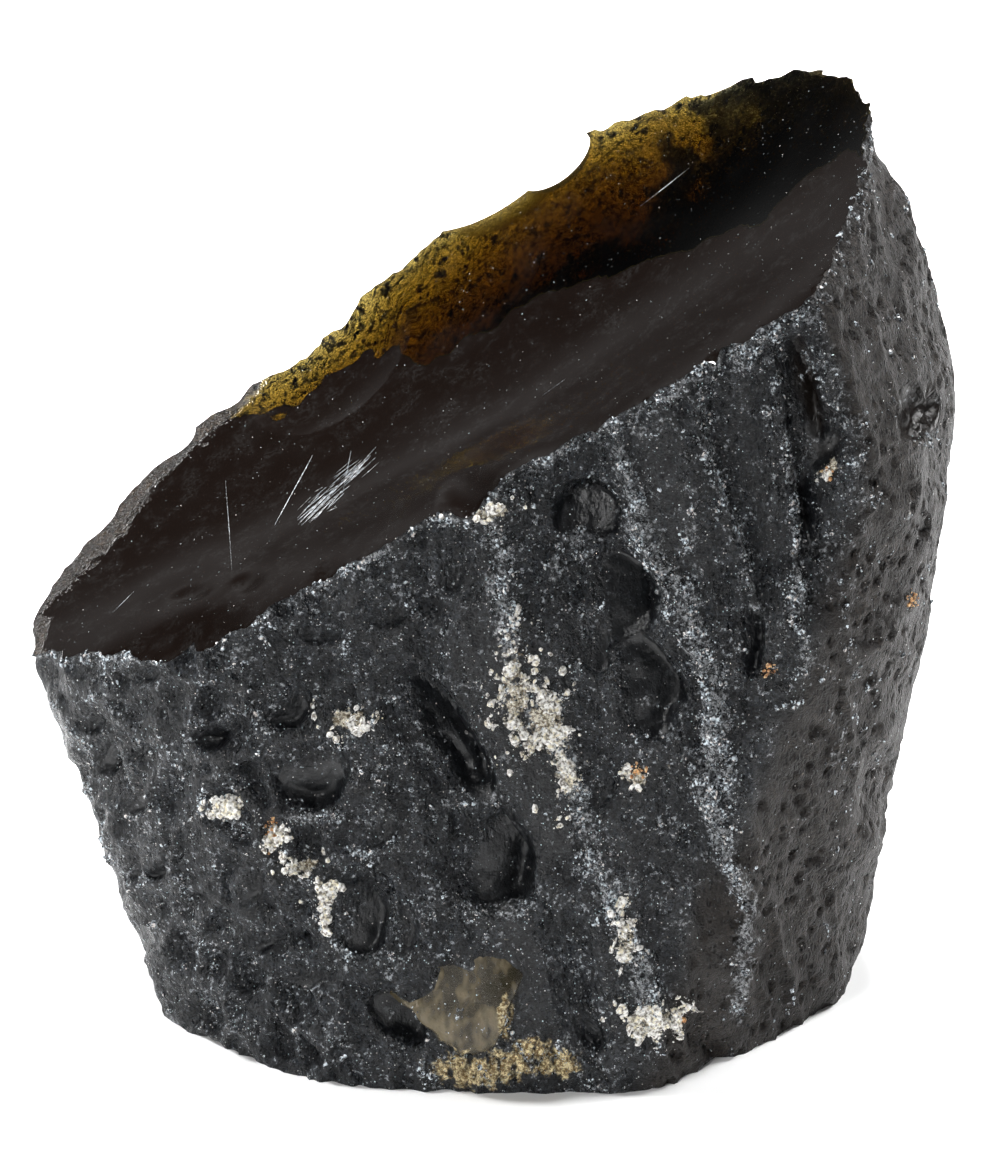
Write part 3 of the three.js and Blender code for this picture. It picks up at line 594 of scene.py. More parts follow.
def front_depth(points):
    u, v = wandering(points)
    depth = sum(hollow_depth(u, v, hollow, soft=True) for hollow in BROAD_HOLLOWS)
    pits = pit_depth(u, v)
    calm = 1 - 0.85 * smoothstep(pits, 0.03, 0.15)
    depth += pits
    for _, drop, reach, course in LEDGES:
        near, side, along = beside(u, v, course)
        ends = smoothstep(along, 0, 0.14) * smoothstep(1 - along, 0, 0.14)
        depth += drop * ends * smoothstep(near * side, -0.06, 0.14) * np.exp(-(near / reach) ** 2)
    crumbly = 0.55 + 0.8 * value_noise(points / 0.5, 31)
    for _, width, height, _, course in RIDGES:
        depth -= height * crumbly * np.exp(-(line_distance(u, v, course) / width) ** 2)

    # Flutes run down the front, with cells between them, and the left flank is honeycombed.
    slant, wide_net, fine_net = cell_nets(u, v)
    left = smoothstep(-u, 2, 8)
    flank = smoothstep(-u - 0.28 * v, 12.2, 14.2)
    slab = strips(u, v)
    flute = value_noise(slant / (1.3, 6.5, 1), 45)
    more = (0.4 - 0.3 * left) * (1 - 0.7 * slab) * np.abs(flute)
    for (near, far, number), high, smoothed, wall, least in (
            (wide_net, 0.1 + 0.2 * left + 0.25 * flank, 0.8, 0.55, 0.4),
            (fine_net, 0.06 + 0.12 * flank, 0.6, 0.5, 0.2)):
        more += high * (1 - smoothed * slab) * smoothstep(far - near, 0, wall) * (least + number)
    return depth + more * calm


def skin_points(directions):
    points, normals = block(directions)
    faces_sheet = smoothstep(normals @ SHEET_OUT, 0.02, 0.22)
    depth = front_depth(points) * faces_sheet

    # The back and the sides away from the sheet are cupped more widely.
    wide = cupped(0.75, points / (3.1, 3.1, 3.8), 51, 0.85, 0.4)
    wide += cupped(0.28, points / (1.1, 1.1, 1.5), 53, 0.8, 0.3)
    depth += (dent_depth(points) + wide) * (1 - faces_sheet)
    depth += dent_depth(points) * 0.35 * faces_sheet

    # The right side is peppered with small upright pits.
    near, _, number = cups(points / (0.5, 0.5, 0.75), 61)
    right = smoothstep(normals @ facing(75, 0), 0.4, 0.7)
    depth += right * 0.2 * np.maximum(0.5 * number + 0.1 - near, 0) / 0.3

    # Both rims crumble, and small shells are struck off them.
    below_rim = fracture_height(points[:, 0], points[:, 1]) - points[:, 2]
    at_rim = smoothstep(-np.abs(below_rim), -1.5, -0.1)
    depth += cupped(at_rim * 0.5, points / 1.5, 71, 0.9, 0)
    crumbling = 0.3 + 0.7 * smoothstep(points[:, 0], -12, -2)
    depth += at_rim * 0.3 * layered_noise(points / 0.7, 73, 2) * crumbling

    depth += 0.06 * layered_noise(points / 0.8, 81, 3)
    depth += 0.1 * value_noise(points / 3.0, 87)
    return points - normals * (depth[:, None] - SKIN_BIAS)


# ---- Meshes ----

SKIN, FRESH, FLAKE_SIDE, CHIPPED = 0, 1, 2, 3
marks = [bpy.data.materials.new(name) for name in ("skin", "fresh", "flake", "chipped")]


def set_out(name, data):
    """A new object at the origin, unturned."""
    thing = bpy.data.objects.new(name, data)
    bpy.context.collection.objects.link(thing)
    return thing


def mesh_object(name, points, faces, mark=SKIN):
    """A solid of the workshop, in millimetres, whose faces all carry one mark."""
    mesh = bpy.data.meshes.new(name)
    mesh.from_pydata(np.asarray(points, dtype=float).tolist(), [], faces)
    for material in marks:
        mesh.materials.append(material)
    mesh.polygons.foreach_set("material_index", [mark] * len(mesh.polygons))
    mesh.update()
    return set_out(name, mesh)


def face_outwards(mesh, split=False):
    """Turns all faces outwards, and splits them into triangles first if asked."""
    bm = bmesh.new()
    bm.from_mesh(mesh)
    if split:
        bmesh.ops.triangulate(bm, faces=bm.faces)
    bmesh.ops.recalc_face_normals(bm, faces=bm.faces)
    bm.to_mesh(mesh)
    bm.free()


def spots_and_faces(bm):
    bm.verts.ensure_lookup_table()
    spots = np.array([vert.co for vert in bm.verts])
    bm.verts.index_update()
    faces = [[vert.index for vert in face.verts] for face in bm.faces]
    return spots, faces


def skin_object():
    """The whole skin before the stone was broken, with the finest mesh in front."""
    bm = bmesh.new()
    bmesh.ops.create_icosphere(bm, subdivisions=6, radius=1)
    for _ in range(4):
        bm.verts.index_update()
        spots = unit(np.array([vert.co for vert in bm.verts]))
        points, normals = block(spots)
        seen = smoothstep((normals * unit(EYE - points)).sum(axis=1), -0.15, 0.1)
        below_rim = fracture_height(points[:, 0], points[:, 1]) - points[:, 2]
        gone = (below_rim < -2) | (points[:, 2] < -1)
        pitch = BACK_PITCH + (FRONT_PITCH - BACK_PITCH) * seen
        pitch[gone] = 2.0
        ends = np.array([[vert.index for vert in edge.verts] for edge in bm.edges])
        lengths = np.linalg.norm(points[ends[:, 0]] - points[ends[:, 1]], axis=1)
        long_ones = lengths > 1.4 * pitch[ends].min(axis=1)
        bm.edges.ensure_lookup_table()
        chosen = [edge for edge, long in zip(bm.edges, long_ones) if long]
        if not chosen:
            break
        bmesh.ops.subdivide_edges(bm, edges=chosen, cuts=1)
        bmesh.ops.triangulate(bm, faces=[face for face in bm.faces if len(face.verts) > 3])
    spots, faces = spots_and_faces(bm)
    bm.free()
    return mesh_object("skin", skin_points(unit(spots)), faces)


def above_fracture_object():
    """All the glass above the fracture, as one block with a fine underside."""
    xs = np.arange(-24, 24.1, FRACTURE_PITCH)
    ys = np.arange(-18, 18.1, FRACTURE_PITCH)
    grid_x, grid_y = np.meshgrid(xs, ys, indexing="ij")
    grid_z = marked_fracture_height(grid_x, grid_y)
    nx, ny = grid_x.shape
    under = np.stack([grid_x, grid_y, grid_z], axis=-1).reshape(-1, 3)
    at = np.arange(nx * ny).reshape(nx, ny)
    quads = np.stack([at[:-1, :-1], at[:-1, 1:], at[1:, 1:], at[1:, :-1]], axis=-1).reshape(-1, 4)
    ring = [*at[:, 0], *at[-1, 1:], *at[-2::-1, -1], *at[0, -2:0:-1]]
    top = np.arange(len(ring)) + nx * ny
    roof = under[ring] * (1, 1, 0) + (0, 0, 90)
    sides = [(a, b, d, c) for a, b, c, d in zip(ring, np.roll(ring, -1), top, np.roll(top, -1))]
    faces = quads.tolist() + [list(map(int, side)) for side in sides] + [top.tolist()]
    return mesh_object("above fracture", np.concatenate([under, roof]), faces, FRESH)


def ball_object(name, middle, radius, fineness, mark):
    bm = bmesh.new()
    bmesh.ops.create_icosphere(bm, subdivisions=fineness, radius=radius)
    spots, faces = spots_and_faces(bm)
    bm.free()
    return mesh_object(name, spots + middle, faces, mark)


def scar_ball():
    """A ball that sinks into the fracture until its cap is as wide as the scar."""
    spot = point_on_plane(SCAR["u"], SCAR["v"], RIM_NORMAL, RIM_LEVEL)
    spot[2] = fracture_height(spot[0], spot[1])
    slope_x = fracture_height(spot[0] + 1, spot[1]) - spot[2]
    slope_y = fracture_height(spot[0], spot[1] + 1) - spot[2]
    upward = unit([-slope_x, -slope_y, 1])
    spot = spot + upward * math.sqrt(SCAR["ball"] ** 2 - (SCAR["across"] / 2) ** 2)
    return ball_object("scar", spot, SCAR["ball"], 7, FRESH)


def chip_ball(u, v, bite, ball):
    back = CHIPPED_FROM * (ball - bite)
    middle = point_on_plane(u + back[0], v + back[1], RIM_NORMAL, RIM_LEVEL)
    return ball_object("chip", middle, ball, 4, CHIPPED)


def flake_object():
    """A plate that hangs on the front face: flush at its top and proud at its foot."""
    normal = FACE_NORMALS[0]
    level = FACE_REACHES[0] + HEART @ normal
    along = unit([-normal[1], normal[0], 0])
    up = np.cross(normal, along)
    edge = []
    for (u0, v0), (u1, v1) in zip(FLAKE_OUTLINE, FLAKE_OUTLINE[1:] + FLAKE_OUTLINE[:1]):
        for share in (0.0, 0.25, 0.5, 0.75):
            u, v = u0 + share * (u1 - u0), v0 + share * (v1 - v0)
            nick = 0.1 * math.sin(7.3 * u) * math.sin(math.pi * share)
            edge.append(point_on_plane(u + nick, v + nick, normal, level))
    edge = np.array(edge)
    middle = edge.mean(axis=0)
    points = []
    for share, rise in FLAKE_RINGS:
        ring = middle + (edge - middle) * share
        fall = (ring - middle) @ up
        right = (ring - middle) @ along
        folds = 0.22 * np.abs(right - 1.0 + 0.25 * fall) + 0.2 * np.abs(fall + 0.7 - 0.3 * right)
        proud = FLAKE_PROUD * (0.8 - 0.2 * fall) + 0.55 - folds + 0.1 * value_noise(ring / 0.9, 111)
        height = np.full(len(ring), rise) if rise <= 0 else rise * proud
        points.append(ring + normal * height[:, None])
    count = len(edge)
    faces = [list(range(count))[::-1]]
    for lower in range(len(FLAKE_RINGS) - 1):
        a, b = lower * count, (lower + 1) * count
        faces += [(a + k, a + (k + 1) % count, b + (k + 1) % count, b + k) for k in range(count)]
    faces.append([count * (len(FLAKE_RINGS) - 1) + k for k in range(count)])
    plate = mesh_object("flake", np.concatenate(points), faces, FLAKE_SIDE)
    face_outwards(plate.data, split=True)
    return plate


def below_ground_object():
    corners = [(x, y, z) for z in (-20, 0) for y in (-40, 40) for x in (-40, 40)]
    faces = [(0, 2, 3, 1), (4, 5, 7, 6), (0, 1, 5, 4), (2, 6, 7, 3), (0, 4, 6, 2), (1, 3, 7, 5)]
    return mesh_object("below ground", corners, faces)


def cut(thing, tool, operation="DIFFERENCE"):
    """Applies one cut or join to thing, and deletes the tool."""
    step = thing.modifiers.new("cut", "BOOLEAN")
    step.solver = "MANIFOLD"
    step.operation = operation
    step.object = tool
    graph = bpy.context.evaluated_depsgraph_get()
    mesh = bpy.data.meshes.new_from_object(thing.evaluated_get(graph))
    thing.modifiers.remove(step)
    old, thing.data = thing.data, mesh
    bpy.data.meshes.remove(old)
    bpy.data.meshes.remove(tool.data)
    return thing


# ---- The stone ----

def make_stone():
    stone = skin_object()
    cut(stone, above_fracture_object())
    cut(stone, scar_ball())
    cut(stone, flake_object(), "UNION")
    for chip in RIM_CHIPS:
        cut(stone, chip_ball(*chip))
    cut(stone, below_ground_object())
    stone.name = "stone"
    return stone


def read(mesh, part, key, width, kind=float):
    values = np.empty(len(part) * width, dtype=kind)
    part.foreach_get(key, values)
    return values.reshape(-1, width) if width > 1 else values


def keep(mesh, name, values, domain="POINT"):
    """Keeps one number for each point or face, for the material to read."""
    layer = mesh.attributes.new(name, "FLOAT", domain)
    layer.data.foreach_set("value", np.asarray(values, dtype=np.float32))


def patches_of(patches, u, v):
    """How much each mark lies in one of some round patches."""
    return max_of(np.exp(-((u - at_u) / half_u) ** 2 - ((v - at_v) / half_v) ** 2)
                  for at_u, at_v, half_u, half_v in patches)


def survey(stone):
    """Works out, for each point of the stone, how thin, soiled or worn the glass is there, and where
    glints, glow and shade are painted.
    """
    mesh = stone.data
    mesh.calc_loop_triangles()
    points = read(mesh, mesh.vertices, "co", 3)
    corners = read(mesh, mesh.loop_triangles, "vertices", 3, np.int32)
    owner = read(mesh, mesh.loop_triangles, "polygon_index", 1, np.int32)
    mark = read(mesh, mesh.polygons, "material_index", 1, np.int32)
    _, normals = block(unit(points - HEART))
    fresh = (mark == FRESH) | (mark == CHIPPED)
    fresh_points = np.zeros(len(points), dtype=bool)
    fresh_points[corners[fresh[owner]].ravel()] = True

    u, v = drawn(points)
    wander_u, wander_v = wandering(points)
    below_rim = RIM_LEVEL - points @ RIM_NORMAL
    patchy = value_noise(points / 1.1, 91)
    amber = smoothstep(v - np.interp(u, *zip(*AMBER_LINE)) + 0.5 * patchy, -2.2, -1.6)
    backs = smoothstep(points[:, 1] + 1.5 * patchy, HEART[1] + 1, HEART[1] + 5)
    thin = backs * smoothstep(AMBER_DEPTH - below_rim + 1.2 * patchy, -1.5, 1.5)
    thin = thin * (1 - 0.9 * smoothstep(u + 2.2 * patchy, 9.0, 12.5))
    thin = np.where(fresh_points, amber, thin)

    soil = np.zeros(len(points))
    for _, width, _, share, course in RIDGES:
        distance = line_distance(wander_u, wander_v, course)
        soil = np.maximum(soil, share * np.exp(-(distance / (width * 1.4)) ** 2))
    _, wide_net, fine_net = cell_nets(wander_u, wander_v)
    broken_up = smoothstep(patchy, -0.5, 0.5)
    for (near, far, _), share in ((wide_net, 0.62), (fine_net, 0.34)):
        soil = np.maximum(soil, share * smoothstep(near - far, -0.14, -0.01) * broken_up)
    front = smoothstep(normals @ SHEET_OUT, -0.1, 0.2)
    under_rim = fracture_height(points[:, 0], points[:, 1]) - points[:, 2]
    crust = 0.5 + 1.5 * smoothstep(u, -2, 8) + 0.6 * patchy
    soil = np.maximum(soil, (1 - smoothstep(under_rim / np.maximum(crust, 0.2), 0.2, 1.2)) * 0.7) * front
    # Painted glints: pale soil laid along the lower rims of the scoops.
    soil = np.maximum(soil, 0.85 * painted_glint_rims(wander_u, wander_v) * front * smoothstep(patchy, -0.4, 0.6))
    # Patches of painted glints, laid on as bright soil.
    soil = np.maximum(soil, patches_of(PAINTED_GLINT_PATCHES, wander_u, wander_v)) * front
    cream = patches_of(CREAM_PATCHES, wander_u, wander_v) * front
    painted_gold_glow = patches_of(PAINTED_GLOW_PATCHES, wander_u, wander_v) * front
    side = smoothstep(normals @ facing(75, 0), 0.4, 0.7)
    calm = smoothstep(pit_depth(wander_u, wander_v), 0.2, 0.55) * front
    calm = np.maximum(calm, strips(wander_u, wander_v) * front)
    skin = ~fresh_points
    from_worn_rim = line_distance(wander_u, wander_v, WORN_RIM) / (0.55 + 0.25 * patchy)
    return dict(points=points, corners=corners, fresh=fresh, mark=mark, normals=normals, u=u, v=v,
                thin=thin, soil=soil * skin, cream=cream * skin, side=side, calm=calm, painted_gold_glow=painted_gold_glow,
                worn=np.exp(-from_worn_rim ** 2) * fresh_points, fresh_points=fresh_points)


stone = make_stone()
found = survey(stone)
mesh = stone.data
keep(mesh, "fresh", found["fresh"], "FACE")
keep(mesh, "chipped", found["mark"] == CHIPPED, "FACE")
keep(mesh, "flake", found["mark"] == FLAKE_SIDE, "FACE")
for name in ("thin", "soil", "cream", "side", "calm", "painted_gold_glow", "worn"):
    keep(mesh, name, found[name])

# The edge between skin and fresh glass is sharp, and so are steep breaks of the fresh glass.
mesh.transform(Matrix.Scale(MM, 4))
mesh.polygons.foreach_set("use_smooth", [True] * len(mesh.polygons))
mesh.set_sharp_from_angle(angle=math.radians(60))


# ---- Materials ----

class Bench:
    """Sets out the nodes of one tree."""

    def __init__(self, tree):
        self.tree = tree

    def add(self, kind, inputs=(), **settings):
        made = self.tree.nodes.new(kind)
        for name, value in settings.items():
            setattr(made, name, value)
        for name, value in dict(inputs).items():
            self.fill(made.inputs[name], value)
        return made

    def fill(self, socket, value):
        if isinstance(value, bpy.types.NodeSocket):
            self.tree.links.new(value, socket)
        else:
            socket.default_value = (*value, 1) if socket.type == "RGBA" else value

    def sum(self, operation, first, *others):
        for other in others:
            first = self.add("ShaderNodeMath", {0: first, 1: other}, operation=operation).outputs[0]
        return first

    def times(self, *values):
        return self.sum("MULTIPLY", *values)

    def plus(self, *values):
        return self.sum("ADD", *values)

    def less(self, first, second):
        return self.sum("SUBTRACT", first, second)

    def ramp(self, value, low, high, start=0.0, end=1.0):
        """A smooth step from start to end as value goes from low to high."""
        values = {"Value": value, "From Min": low, "From Max": high, "To Min": start, "To Max": end}
        made = self.add("ShaderNodeMapRange", values, interpolation_type="SMOOTHSTEP")
        return made.outputs["Result"]

    def blend(self, share, first, second):
        made = self.add("ShaderNodeMix", {"Factor": share}, data_type="RGBA")
        self.fill(made.inputs[6], first)
        self.fill(made.inputs[7], second)
        return made.outputs[2]

    def level(self, share, first, second):
        made = self.add("ShaderNodeMix", {0: share, 2: first, 3: second}, data_type="FLOAT")
        return made.outputs[0]

    def mark(self, name):
        return self.add("ShaderNodeAttribute", attribute_name=name).outputs["Fac"]

    def noise(self, place, scale, detail=3.0, roughness=0.55):
        values = {"Vector": place, "Scale": scale, "Detail": detail, "Roughness": roughness}
        return self.add("ShaderNodeTexNoise", values).outputs["Fac"]

    def chance(self, least, most, seed):
        """Three chance numbers at every point."""
        values = {0: (least,) * 3, 1: (most,) * 3, "Seed": seed}
        return self.add("FunctionNodeRandomValue", values, data_type="FLOAT_VECTOR").outputs[0]


def new_material(name):
    material = bpy.data.materials.new(name)
    material.use_nodes = True
    material.node_tree.nodes.clear()
    return material, Bench(material.node_tree)


def glass_material():
    material, bench = new_material("tektite glass")
    place = bench.add("ShaderNodeTexCoord").outputs["Object"]
    upright = bench.add("ShaderNodeMapping", {"Vector": place, "Scale": (1, 1, 0.5)}).outputs["Vector"]
    fresh, thin, soil = bench.mark("fresh"), bench.mark("thin"), bench.mark("soil")
    cream, side, calm = bench.mark("cream"), bench.mark("side"), bench.mark("calm")
    flake, painted_gold_glow, chipped, worn = (bench.mark(name) for name in ("flake", "painted_gold_glow", "chipped", "worn"))

    grain = bench.noise(place, 9500, 2, 0.6)
    leather = bench.noise(upright, 1900, 2, 0.62)
    cloud = bench.noise(place, 420, 1)
    crumb = bench.noise(place, 1900, 2, 0.78)
    tone = bench.ramp(bench.noise(place, 5600, 3, 0.8), 0.42, 0.62)
    dusty = bench.ramp(bench.noise(place, 800, 2, 0.7), 0.38, 0.66)
    flecks = bench.noise(place, 3300, 2, 0.65)

    # Upright pits, which are thickest on the right side.
    pits = bench.add("ShaderNodeTexVoronoi", {"Vector": upright, "Scale": 4200})
    pebbles = pits.outputs["Distance"]
    pitted = bench.add("ShaderNodeSeparateColor", {"Color": pits.outputs["Color"]}).outputs[0]
    pitted = bench.ramp(bench.plus(pitted, bench.times(side, 0.45)), 0.6, 0.8)
    pits = bench.times(bench.ramp(pebbles, 0.14, 0.42, 1, 0), pitted)

    # Pale specks, one in some of the cells of a very fine net: quartz dust and painted glints, near white
    # and tinted from blue to warm as glints are.
    specks_and_glints = bench.add("ShaderNodeTexVoronoi", {"Vector": place, "Scale": 11000})
    parts = bench.add("ShaderNodeSeparateColor", {"Color": specks_and_glints.outputs["Color"]}).outputs
    speck_and_glint_dots = bench.sum("LESS_THAN", specks_and_glints.outputs["Distance"], bench.level(fresh, 0.38, 0.26))
    sparse = bench.less(0.95, bench.times(dusty, 0.16))
    sparse = bench.less(sparse, bench.times(soil, 0.25))
    sparse = bench.level(calm, sparse, 0.965)
    sparse = bench.level(fresh, sparse, bench.level(dusty, 0.996, 0.97))
    sparse = bench.level(side, sparse, 0.98)
    sparse = bench.level(flake, sparse, 0.97)
    speck_and_glint_dots = bench.times(speck_and_glint_dots, bench.sum("GREATER_THAN", parts[0], sparse))
    speck_and_glint_colour = bench.blend(parts[2], *COLOURS["specks_and_glints"])
    speck_and_glint_colour = bench.blend(bench.sum("POWER", parts[1], 3.0), (0.05, 0.055, 0.06), speck_and_glint_colour)

    # Soil, with the painted glints that share its mark, clings where the mark is strong, and breaks up into
    # crumbs at its edges.
    crumbs = bench.less(crumb, 0.5)
    clinging = bench.ramp(bench.plus(soil, bench.times(crumbs, 3.0)), 0.65, 1.15)
    creamy = bench.ramp(bench.plus(cream, bench.times(crumbs, 2.2)), 0.5, 0.75)

    # A film of finer dust greys the skin and gathers in pale flecks. Where it is calm, in the scoops and
    # smooth strips, film and flecks are mostly taken out, which leaves them near black: painted shade.
    film = bench.times(tone, bench.plus(0.3, bench.times(dusty, 0.6)))
    film = bench.times(film, bench.level(calm, 1.0, 0.2))
    skin_colour = bench.blend(film, *COLOURS["skin"])
    gathered = bench.plus(bench.times(dusty, 0.04), bench.times(soil, 0.12))
    gathered = bench.plus(flecks, gathered)
    gathered = bench.times(bench.ramp(gathered, 0.62, 0.71), bench.level(calm, 1.0, 0.1))
    skin_colour = bench.blend(bench.times(gathered, tone), skin_colour, (0.46, 0.49, 0.52))
    side_colour = bench.blend(film, *COLOURS["side"])
    # The side's pits are painted near black: painted shade in them.
    side_colour = bench.blend(pits, side_colour, (0.002, 0.0015, 0.0015))
    skin_colour = bench.blend(side, skin_colour, side_colour)
    dust_colour = bench.blend(tone, *COLOURS["dust"])
    skin_colour = bench.blend(bench.times(clinging, 0.85), skin_colour, dust_colour)
    cream_colour = bench.blend(tone, *COLOURS["cream"])
    skin_colour = bench.blend(creamy, skin_colour, cream_colour)
    smeared = bench.blend(bench.times(dusty, dusty, tone), *COLOURS["fracture"])
    colour = bench.blend(fresh, skin_colour, smeared)

    # Where it is thin the glass is clear and glows, apart from dark dirt on its back.
    dirt = bench.ramp(bench.noise(place, 2300, 2, 0.75), 0.53, 0.66, 0.0, 0.9)
    clear = bench.level(fresh, thin, bench.ramp(thin, 0.35, 0.6))
    clear = bench.times(clear, bench.level(fresh, bench.less(1, dirt), 1.0))
    clear = bench.times(clear, bench.less(1, clinging))
    clear = bench.level(flake, clear, 0.3)
    colour = bench.blend(bench.ramp(clear, 0.8, 1.0), colour, (0.26, 0.20, 0.06))
    worn = bench.ramp(bench.plus(worn, bench.times(crumbs, 1.2)), 0.35, 0.75)
    colour = bench.blend(worn, colour, bench.blend(film, *COLOURS["worn rim"]))
    # The flake is olive glass, painted lighter for the light that falls on its face.
    clouded = bench.ramp(bench.noise(upright, 900, 2, 0.7), 0.4, 0.66)
    olive_and_painted_light = bench.blend(clouded, *COLOURS["flake"])
    colour = bench.blend(flake, colour, olive_and_painted_light)
    # The broken edge of the foot and its crumbs are painted bright gold: painted glow and painted
    # highlights.
    painted_glow = bench.plus(painted_gold_glow, bench.times(crumbs, 1.6))
    painted_glow = bench.times(bench.ramp(painted_glow, 0.25, 0.55), bench.ramp(leather, 0.3, 0.5))
    painted_glow = bench.times(painted_glow, bench.ramp(painted_gold_glow, 0.05, 0.2))
    painted_glow_colour = bench.blend(tone, *COLOURS["painted_gold_glow"])
    colour = bench.blend(painted_glow, colour, painted_glow_colour)
    colour = bench.blend(speck_and_glint_dots, colour, speck_and_glint_colour)
    clear = bench.times(clear, bench.less(1, speck_and_glint_dots))

    rough = bench.ramp(leather, 0.35, 0.65, 0.2, 0.5)
    rough = bench.level(side, rough, 0.55)
    rough = bench.level(calm, rough, 0.34)
    rough = bench.level(flake, rough, 0.2)
    smooth = bench.ramp(cloud, 0.35, 0.7, 0.07, 0.16)
    rough = bench.level(bench.less(fresh, bench.times(worn, fresh)), rough, smooth)
    rough = bench.level(chipped, rough, 0.5)

    # The skin is rounded into tiny pebbles between its pits.
    height = bench.plus(bench.times(grain, 1.2), bench.times(leather, 1.6))
    height = bench.plus(height, bench.times(pebbles, bench.ramp(side, 0, 1, -0.9, -0.2)))
    height = bench.less(height, bench.times(pits, bench.ramp(side, 0, 1, 0.6, 0.9)))
    height = bench.times(height, bench.level(calm, 1.0, 0.12))
    height = bench.times(height, bench.level(flake, 1.0, 0.3))
    broken = bench.sum("MAXIMUM", bench.times(worn, 0.6), bench.level(chipped, 0.002, 0.5))
    height = bench.times(height, bench.level(fresh, 1.0, broken))
    bump = bench.add("ShaderNodeBump", {"Strength": 1.0, "Distance": 0.0002, "Height": height})

    shader = bench.add("ShaderNodeBsdfPrincipled", {
        "Base Color": colour, "Roughness": rough, "IOR": 1.5, "Transmission Weight": clear,
        "Normal": bump.outputs["Normal"],
    })
    inside = bench.add("ShaderNodeVolumeAbsorption", {"Color": (0.62, 0.485, 0.0), "Density": 1200.0})
    bench.add("ShaderNodeOutputMaterial", {"Surface": shader.outputs[0], "Volume": inside.outputs[0]})
    return material


def grain_material(name, dark, light, warm, roughness, power):
    """Small grains whose colour changes from one to the next, from dark to light or to a warm light."""
    material, bench = new_material(name)
    place = bench.add("ShaderNodeTexCoord").outputs["Object"]
    change = bench.noise(place, 6500, 1)
    hue = bench.ramp(bench.noise(place, 4300, 1), 0.5, 0.66)
    colour = bench.blend(hue, light, warm)
    colour = bench.blend(bench.sum("POWER", bench.ramp(change, 0.35, 0.68), power), dark, colour)
    shader = bench.add("ShaderNodeBsdfPrincipled", {
        "Base Color": colour, "Roughness": roughness, "IOR": 1.54,
    })
    bench.add("ShaderNodeOutputMaterial", {"Surface": shader.outputs[0]})
    return material


glass = glass_material()
mesh.materials.clear()
mesh.materials.append(glass)
mesh.polygons.foreach_set("material_index", [0] * len(mesh.polygons))
for material in marks:
    bpy.data.materials.remove(material)


# ---- Grains ----

def grain_tree():
    """Sets one angular grain on every point given, with its own size and turn."""
    tree = bpy.data.node_groups.new("grains", "GeometryNodeTree")
    sockets = tree.interface
    sockets.new_socket("Geometry", in_out="INPUT", socket_type="NodeSocketGeometry")
    for name, kind in (("Grain width", "NodeSocketFloat"), ("Grain height", "NodeSocketFloat"),
                       ("Seed", "NodeSocketInt"), ("Grain material", "NodeSocketMaterial")):
        sockets.new_socket(name, in_out="INPUT", socket_type=kind)
    sockets.new_socket("Geometry", in_out="OUTPUT", socket_type="NodeSocketGeometry")
    bench = Bench(tree)
    given = bench.add("NodeGroupInput").outputs
    grain = bench.add("GeometryNodeMeshIcoSphere", {"Radius": 0.55, "Subdivisions": 1}).outputs["Mesh"]
    rough = bench.chance(0.4, 1.6, given["Seed"])
    size = bench.add("GeometryNodeInputNamedAttribute", {"Name": "size"}, data_type="FLOAT").outputs[0]
    shape = bench.add("ShaderNodeCombineXYZ", {0: given["Grain width"], 1: given["Grain width"],
                                               2: given["Grain height"]}).outputs[0]
    shape = bench.add("ShaderNodeVectorMath", {0: shape, 1: rough}, operation="MULTIPLY").outputs[0]
    scale = bench.add("ShaderNodeVectorMath", {0: shape}, operation="SCALE")
    bench.fill(scale.inputs["Scale"], size)
    turn = bench.chance(0, 6.283, bench.plus(given["Seed"], 1))
    points = bench.add("GeometryNodeMeshToPoints", {"Mesh": given["Geometry"]}).outputs[0]
    turned = bench.add("FunctionNodeEulerToRotation", {0: turn}).outputs[0]
    placed = bench.add("GeometryNodeInstanceOnPoints", {
        "Points": points, "Instance": grain, "Rotation": turned, "Scale": scale.outputs[0],
    }).outputs[0]
    real = bench.add("GeometryNodeRealizeInstances", {"Geometry": placed}).outputs[0]
    dressed = bench.add("GeometryNodeSetMaterial", {
        "Geometry": real, "Material": given["Grain material"],
    }).outputs[0]
    bench.add("NodeGroupOutput", {"Geometry": dressed})
    return tree


def grains(name, places, sizes, height, seed, material, tree):
    """One plain mesh of grains, in metres."""
    seeds = bpy.data.meshes.new(name + " places")
    seeds.from_pydata((places * MM).tolist(), [], [])
    keep(seeds, "size", sizes * MM)
    carrier = set_out(name + " places", seeds)
    step = carrier.modifiers.new("grains", "NODES")
    step.node_group = tree
    values = {"Grain width": 1.0, "Grain height": height, "Seed": seed, "Grain material": material}
    for item in tree.interface.items_tree:
        if item.in_out == "INPUT" and item.name in values:
            step[item.identifier] = values[item.name]
    graph = bpy.context.evaluated_depsgraph_get()
    made = bpy.data.meshes.new_from_object(carrier.evaluated_get(graph))
    made.name = name
    carrier.modifiers.remove(step)
    bpy.data.objects.remove(carrier)
    bpy.data.meshes.remove(seeds)
    thing = set_out(name, made)
    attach(thing, "root")


def scatter(count, chance, seed):
    """Places on the stone's faces, likelier where the chance at their points is higher."""
    dice = np.random.default_rng(seed)
    spots, corners = found["points"], found["corners"]
    a, b, c = (spots[corners[:, k]] for k in range(3))
    area = np.linalg.norm(np.cross(b - a, c - a), axis=1) / 2
    share = np.cumsum(area * chance[corners].mean(axis=1))
    chosen = np.searchsorted(share, dice.random(count) * share[-1])
    first, second = dice.random((2, count, 1))
    over = first + second > 1
    first, second = np.where(over, 1 - first, first), np.where(over, 1 - second, second)
    return a[chosen] + (b - a)[chosen] * first + (c - a)[chosen] * second, dice


